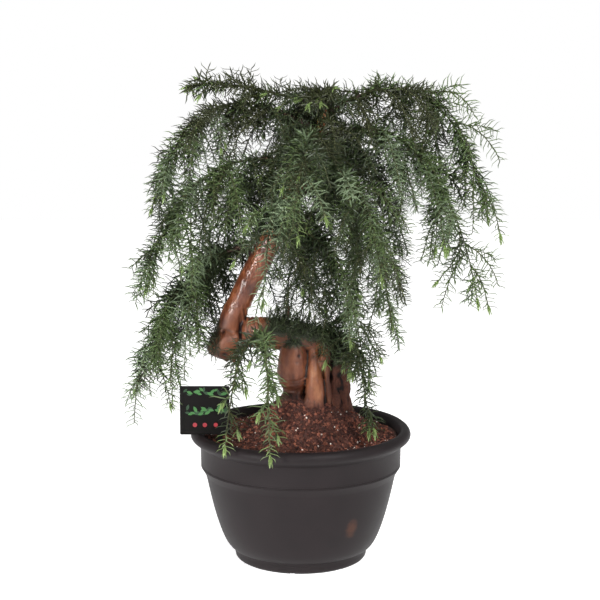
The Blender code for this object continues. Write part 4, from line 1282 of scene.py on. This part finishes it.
# %% [markdown]
# ### Needles
#
# A juvenile araucaria needle is a slim awl of 10 to 20 mm that bends towards the shoot's tip.
# Here it is a three-sided blade of two lengths, the second of which narrows to the point: enough
# for a curved outline.  A few variants are made, and the end of a strong shoot closes in a claw
# of pale new needles.

# %% Needle and claw shapes
NEEDLE = 0.0215
NEEDLE_WIDTH = 0.00235
ORIGIN, RIGHT, UP = Vector((0, 0, 0)), Vector((1, 0, 0)), Vector((0, 0, 1))


def add_needle(bm, base, out, forward, length, width, bend):
    """A three-sided blade that starts outwards and bends forward."""
    side = out.cross(forward).normalized()
    handle = base + out * length * 0.62 + forward * length * 0.10 * bend
    tip = base + out * length * (0.96 - 0.16 * bend) + forward * length * (0.12 + 0.46 * bend)
    rings = []
    for share, half in ((0.0, 0.5 * width), (0.62, 0.46 * width)):
        spot = bezier([base, handle, tip], share)
        ahead = (bezier([base, handle, tip], share + 0.05) - spot).normalized()
        back = side.cross(ahead).normalized()
        rings.append([bm.verts.new(spot + shift)
                      for shift in (side * half, back * half * 0.8, -(side * half))])
    end = bm.verts.new(tip)
    for i in range(3):
        bm.faces.new((rings[0][i - 1], rings[0][i], rings[1][i], rings[1][i - 1]))
        bm.faces.new((rings[1][i - 1], rings[1][i], end))


def needle_mesh(name, out, forward, length, width, bend):
    """One needle by itself."""
    bm = bmesh.new()
    add_needle(bm, ORIGIN, out, forward, length, width, bend)
    return mesh_of(bm, name, outwards=True)


def claw_mesh(name, count, dice):
    """A bunch of short needles that close round the shoot's tip."""
    bm = bmesh.new()
    for number in range(count):
        out = Vector((math.cos(number * SPIRAL), math.sin(number * SPIRAL), 0))
        lean = (out * 0.42 + UP * 0.9).normalized()
        inward = (UP - out * 0.75).normalized()
        base = Vector((0, 0, -0.004 + 0.0011 * number)) + out * 0.0005
        add_needle(bm, base, lean, inward, dice.uniform(0.0075, 0.0105), 0.0020, 0.30)
    return mesh_of(bm, name, outwards=True)


# %% Needle tree
GOLDEN_ANGLE = 2.39996      # radians from one needle to the next
STRAY, NOD, SIZES = (-0.2, 0.2), (-0.12, 0.12), (0.86, 1.08)


def needle_tree(materials):
    """Needles in a spiral along every shoot, and a claw at the end of the strong ones."""
    tree, given = new_tree("leafy shoots", {"Needles": "Collection", "Claws": "Collection",
                                            "Spacing": "Float", "Seed": "Int"})
    node = partial(add_node, tree)
    axes = {"primary_axis": "Z", "secondary_axis": "X"}
    local = {"rotation_space": "LOCAL"}
    needle, stand, claw = (node("GeometryNodeInputNamedAttribute", {"Name": name})
                           for name in ("needle", "stand", "claw"))
    kinds, buds = (node("GeometryNodeCollectionInfo", {"Collection": given[name], **APART})
                   for name in ("Needles", "Claws"))
    stray, nod, spare = (node("FunctionNodeRandomValue", {2: low, 3: high, "Seed": seed})
                         .outputs[1] for (low, high), seed
                         in ((STRAY, given["Seed"]), (NOD, 7), (SIZES, 9)))

    # needles: a frame on each point of the line, turned round it, leant and scaled
    curve = node("GeometryNodeMeshToCurve", {"Mesh": given["Geometry"]})
    points = node("GeometryNodeCurveToPoints", {"Curve": curve, "Length": given["Spacing"]},
                  mode="LENGTH")
    base = node("FunctionNodeAxesToRotation", {"Primary Axis": points.outputs["Tangent"],
                                               "Secondary Axis": points.outputs["Normal"]}, **axes)
    spiral = node("ShaderNodeMath", {0: node("GeometryNodeInputIndex"), 1: GOLDEN_ANGLE, 2: stray},
                  operation="MULTIPLY_ADD")
    circled = node("FunctionNodeAxisAngleToRotation", {"Axis": UP, "Angle": spiral})
    spun = node("FunctionNodeRotateRotation", {"Rotation": base, "Rotate By": circled}, **local)
    lean = node("FunctionNodeAxisAngleToRotation", {"Axis": (0, 1, 0), "Angle": nod})
    leant = node("FunctionNodeRotateRotation", {"Rotation": spun, "Rotate By": lean}, **local)
    scale = node("ShaderNodeMath", {0: needle, 1: spare}, operation="MULTIPLY")
    off = node("FunctionNodeRotateVector",
               {"Vector": node("ShaderNodeCombineXYZ", {"X": stand}), "Rotation": spun})
    feet = node("GeometryNodeSetPosition", {"Geometry": points, "Offset": off})
    needles = node("GeometryNodeInstanceOnPoints",
                   {"Points": feet, "Instance": kinds, "Pick Instance": True, "Rotation": leant,
                    "Scale": scale})

    # claws: on the last point of each strong line
    ends = node("GeometryNodeCurveEndpointSelection", {"Start Size": 0, "End Size": 1})
    strong = node("FunctionNodeCompare", {0: claw, 1: 0.5}, operation="GREATER_THAN")
    both = node("FunctionNodeBooleanMath", {0: ends, 1: strong}, operation="AND")
    facing = node("FunctionNodeAxesToRotation", {"Primary Axis": node("GeometryNodeInputTangent"),
                                                 "Secondary Axis": RIGHT}, **axes)
    claws = node("GeometryNodeInstanceOnPoints",
                 {"Points": curve, "Selection": both, "Instance": buds, "Pick Instance": True,
                  "Rotation": facing, "Scale": claw})
    fresh = node("GeometryNodeStoreNamedAttribute", {"Geometry": claws, "Name": "tone",
                                                     "Value": FRESH},
                 data_type="INT", domain="INSTANCE")
    joined = node("GeometryNodeJoinGeometry")
    for part in (needles, fresh):
        connect(tree, joined, {0: part})
    return end_tree(tree, joined, materials)


# %% [markdown]
# ### Needle tones
#
# The needles carry a thin wax that turns the green grey-blue, so the gloss is soft and broad.
# Inner sprays, the rows on old bark and the short shoots round the top of the trunk take the shaded tone as
# painted shade.  Those on top are olive, darkened as painted shade of the crown's top, and the new growth is
# lime.

# %% Needle materials
# the shaded tone is painted shade, and the olive is darkened as painted shade of the top
TONE_COLOURS = ("6a7b5c", "54673c", "2b371c", "2e3318", "74894f")
needle_tones = [new_material(f"{tone} waxy needle", colour, 0.48)
                for tone, colour in zip(TONES, TONE_COLOURS)]

# %% [markdown]
# ### Twig wood
#
# Twigs and boughs are tubes along the same rows of points.  Geometry Nodes sweep a ring along
# each row with the stored thickness and then roughen it with noise along the normal, so boughs
# get their flaky relief and fine twigs stay almost smooth.

# %% Twig tree
def twig_tree(material):
    """Tubes along every row of points, as thick as its attribute says, with a rough skin."""
    tree, given = new_tree("twig wood", {"Sides": "Int", "Relief": "Float",
                                         "Relief scale": "Float"})
    node = partial(add_node, tree)
    curve = node("GeometryNodeMeshToCurve", {"Mesh": given["Geometry"]})
    thick = node("GeometryNodeInputNamedAttribute", {"Name": "thick"})
    ring = node("GeometryNodeCurvePrimitiveCircle", {"Resolution": given["Sides"], "Radius": 1.0})
    tube = node("GeometryNodeCurveToMesh",
                {"Curve": curve, "Profile Curve": ring, "Scale": thick, "Fill Caps": True})
    flakes = node("ShaderNodeTexNoise", {"Scale": given["Relief scale"], "Detail": 2.0})
    centred = node("ShaderNodeMath", {0: flakes, 1: 0.5}, operation="SUBTRACT")
    depth = node("ShaderNodeMath", {0: centred, 1: given["Relief"]}, operation="MULTIPLY")
    shift = node("ShaderNodeVectorMath", {0: node("GeometryNodeInputNormal"), "Scale": depth},
                 operation="SCALE")
    rough = node("GeometryNodeSetPosition", {"Geometry": tube, "Offset": shift})
    return end_tree(tree, node("GeometryNodeSetShadeSmooth", {"Geometry": rough}), [material])


# %% Rows of points as a mesh
def path_mesh(name, shoots):
    """Rows of points as loose edges, with what the trees read stored on each point."""
    points, edges = [], []
    columns = {"thick": [], "needle": [], "stand": [], "claw": [], "tone": []}
    for shoot in shoots:
        first = len(points)
        last = len(shoot.points) - 1
        for number, point in enumerate(shoot.points):
            share = number / last
            points.append(point)
            grown = 0.72 + 0.28 * min(share * 4, 1.0)       # shorter needles at the foot
            row = (shoot.thick + (shoot.thin - shoot.thick) * share,
                   shoot.needle * grown * (1 - 0.30 * share ** 3),
                   shoot.stand[number] if shoot.stand else 0.0,
                   shoot.needle if shoot.claw else 0.0,
                   FRESH if shoot.claw and share > 0.93 else shoot.tone)
            for values, value in zip(columns.values(), row):
                values.append(value)
        edges += [(i, i + 1) for i in range(first, len(points) - 1)]
    mesh = bpy.data.meshes.new(name)
    mesh.from_pydata(points, edges, [])
    for label, values in columns.items():
        kind = "INT" if label == "tone" else "FLOAT"
        mesh.attributes.new(label, kind, "POINT").data.foreach_set("value", values)
    return mesh


# %% Boughs
young_bark = mottled("thin brown bark", "241811", "4e382a", 150.0, 0.75)
green_twig = mottled("olive twig skin", "2c2f1a", "4c4f2c", 220.0, 0.7)
boughs = []
for limb in LIMBS:
    course = course_of(limb)
    points = [bezier(course, limb.bare * BARE_OVER * i / 24) for i in range(25)]
    boughs.append(Shoot(points, bough_radius(limb, 0.0), bough_radius(limb, 1.0), 0.0, 0))
bough_wood = add_object("bough_wood", path_mesh("bough_wood", boughs))
run_tree(bough_wood, twig_tree(young_bark), {"Sides": 14, "Relief": 0.0022, "Relief scale": 170.0})
hand_in(bough_wood, "young_bark", *["bough_" + limb.name for limb in LIMBS])

# %% Twigs and needles of every mass
dice = random.Random(f"{SEED} needles")
needle_kinds = hidden_group("needle_kinds", [
    needle_mesh("needle", RIGHT, UP, NEEDLE * dice.uniform(0.9, 1.1), NEEDLE_WIDTH, bend)
    for bend in (0.50, 0.65, 0.80, 0.95)])
claw_kinds = hidden_group("claw_kinds", [claw_mesh("claw", count, dice) for count in (7, 8)])
leafy = needle_tree(needle_tones)
fine_wood = twig_tree(green_twig)
for limb in LIMBS + SPURS:
    shoots = shoots_of(limb)
    if limb.name == "apex":
        shoots += bark_rows(TRUNK_ROWS, 40, TRUNK_ROWS_FROM, 1.0, upper_point, upper_radius, 0.9,
                            dice) + inner_shoots(dice)
    twigs = add_object("twigs_" + limb.name, path_mesh("twigs", shoots))
    needles = add_object("needles_" + limb.name, twigs.data.copy())
    run_tree(twigs, fine_wood, {"Sides": 5, "Relief": 0.0006, "Relief scale": 300.0})
    run_tree(needles, leafy, {"Needles": needle_kinds, "Claws": claw_kinds,
                              "Spacing": NEEDLE_SPACING, "Seed": 4})
    hand_in(twigs, "young_bark")
    hand_in(needles, "needles", "foliage_" + limb.name)
drop_group(needle_kinds)
drop_group(claw_kinds)

# %% [markdown]
# ## The label
#
# A nursery label is a printed plastic card on a stake.  This one carries a plain pattern of
# leaves and berries, laid on as thin inlays, and no words.

# %% Card and stake
CARD_SIDE = 0.0730
CARD_MIDDLE = Vector((-0.1412, -0.0500, 0.2362))
CARD_THICKNESS = 0.0014
CARD_FRONT = CARD_MIDDLE.y - CARD_THICKNESS / 2
STAKE_X, STAKE_HALF, STAKE_TIP_Z = -0.119, 0.004, 0.150


def add_plate(bm, corners, front, thickness):
    """A flat plate from its corners (x, z), its face towards the viewer."""
    face = bm.faces.new([bm.verts.new((x, front, z)) for x, z in corners])
    bmesh.ops.recalc_face_normals(bm, faces=[face])
    back = bmesh.ops.extrude_face_region(bm, geom=[face])["geom"]
    bmesh.ops.translate(bm, verts=[v for v in back if isinstance(v, bmesh.types.BMVert)],
                        vec=(0, thickness, 0))


def rounded_square(middle_x, middle_z, side, corner):
    """Corners of a square with rounded corners."""
    half = side / 2 - corner
    points = []
    for quarter, (sign_x, sign_z) in enumerate(((1, 1), (-1, 1), (-1, -1), (1, -1))):
        for step in range(6):
            angle = math.radians(90 * quarter + 18 * step)
            points.append((middle_x + sign_x * half + corner * math.cos(angle),
                           middle_z + sign_z * half + corner * math.sin(angle)))
    return points


card_plastic = new_material("printed card", "0a0807", 0.7, Specular_IOR_Level=0.15)
bm = bmesh.new()
add_plate(bm, rounded_square(CARD_MIDDLE.x, CARD_MIDDLE.z, CARD_SIDE, 0.002), CARD_FRONT,
          CARD_THICKNESS)
left, right, shoulder = STAKE_X - STAKE_HALF, STAKE_X + STAKE_HALF, STAKE_TIP_Z + 0.004
add_plate(bm, [(left, CARD_MIDDLE.z), (left, shoulder), (STAKE_X, STAKE_TIP_Z),
               (right, shoulder), (right, CARD_MIDDLE.z)], CARD_FRONT + 0.0002,
          CARD_THICKNESS - 0.0004)
card = add_object("label_card", mesh_of(bm, "label_card", outwards=True), card_plastic)
hand_in(card, "label_card", "label")

# %% Leaves and berries on the card
INLAY = 0.00018
BERRY = 0.0032              # radius
CARD_LEFT, CARD_TOP = CARD_MIDDLE.x - CARD_SIDE / 2, CARD_MIDDLE.z + CARD_SIDE / 2
LEAVES = 13                 # in each of the two rows


def leaf_outline(x, z, length, angle):
    """A pointed leaf in the card's plane."""
    points = []
    for side in (1, -1):
        for step in range(5):
            share = step / 5 if side > 0 else 1 - step / 5
            u, v = share * length, math.sin(math.pi * share) * length * 0.22 * side
            points.append((x + u * math.cos(angle) - v * math.sin(angle),
                           z + u * math.sin(angle) + v * math.cos(angle)))
    return points


def add_leaves(bm, layer, dice):
    """Two rows of leaves turned at random; one that would cross the card's edge is left out."""
    for row in (0.12, 0.52):
        for number in range(LEAVES):
            x = CARD_LEFT + CARD_SIDE * (0.07 + 0.82 * number / (LEAVES - 1))
            z = CARD_TOP - CARD_SIDE * (row + dice.uniform(-0.02, 0.05))
            aim = dice.uniform(-0.5, math.pi + 0.5)
            length = min(dice.uniform(0.007, 0.012), 0.0105 if row < 0.3 else 0.012)
            leaf = leaf_outline(x, z, length, aim)
            if all(CARD_LEFT + 0.001 < px < CARD_LEFT + CARD_SIDE - 0.001
                   and pz < CARD_TOP - 0.001 for px, pz in leaf):
                add_plate(bm, leaf, CARD_FRONT - INLAY * layer * 0.8 - number * 0.00001,
                          INLAY * (layer + 1))


def add_berries(bm):
    """Three round berries in a row."""
    for share in (0.30, 0.50, 0.72):
        x, z = CARD_LEFT + CARD_SIDE * share, CARD_TOP - CARD_SIDE * 0.80
        turns = [math.tau * i / 16 for i in range(16)]
        add_plate(bm, [(x + BERRY * math.cos(turn), z + BERRY * math.sin(turn)) for turn in turns],
                  CARD_FRONT - INLAY * 2, INLAY * 3)


dice = random.Random(f"{SEED} label")
INKS = (("label_leaves_dark", "printed dark leaf", "14361a", 0.6),
        ("label_leaves_light", "printed light leaf", "366c31", 0.6),
        ("label_berries", "printed berry", "96222a", 0.5))
for layer, (name, ink, colour, roughness) in enumerate(INKS, 1):
    bm = bmesh.new()
    if name == "label_berries":
        add_berries(bm)
    else:
        add_leaves(bm, layer, dice)
    print_ink = new_material(ink, colour, roughness)
    hand_in(add_object(name, mesh_of(bm, name, outwards=True), print_ink), "label_card")

# %% [markdown]
# ## Moss and short needles on the old wood
#
# Short dark needles sprout from the arm and the head of the stump.  The scatter tree is used
# again, this time with small needles that stand out of the bark where the moss attribute is
# strong.

# %% Sprouting needles
MOSS_FROM = 0.25            # no needles sprout where the moss attribute is weaker
sprout_tones = [new_material("dark sprouting needle", "232e18", 0.6),
                new_material("olive sprouting needle", "323c20", 0.6)]
sprout_shapes = [needle_mesh("short", UP, RIGHT, 1.0, 0.070, bend) for bend in (0.2, 0.5, 0.9)]
moss = wood.data.attributes["moss"].data
sprouts = scatter_on(wood, "sprouting_needles", scatter_tree("sprouts", sprout_tones),
                     sprout_shapes, lambda corner: max(0.0, moss[corner.index].value - MOSS_FROM),
                     Density=90000.0, Smallest=0.013, Largest=0.0240, Lift=-0.0003, Seed=6,
                     Tilt=0.85)
hand_in(sprouts, "needles")

# %% [markdown]
# ## Sizes
#
# Both boxes are printed: that of the solids and that of the dressed plant.  The dressed
# plant has to stay as large as its solids.

# %% Write the two boxes and finish
boxes = {"cad": [list(corner) for corner in CAD_BOX], "visual": [list(corner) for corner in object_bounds()]}
for name, box in boxes.items():
    print(name, [[round(v, 4) for v in corner] for corner in box])
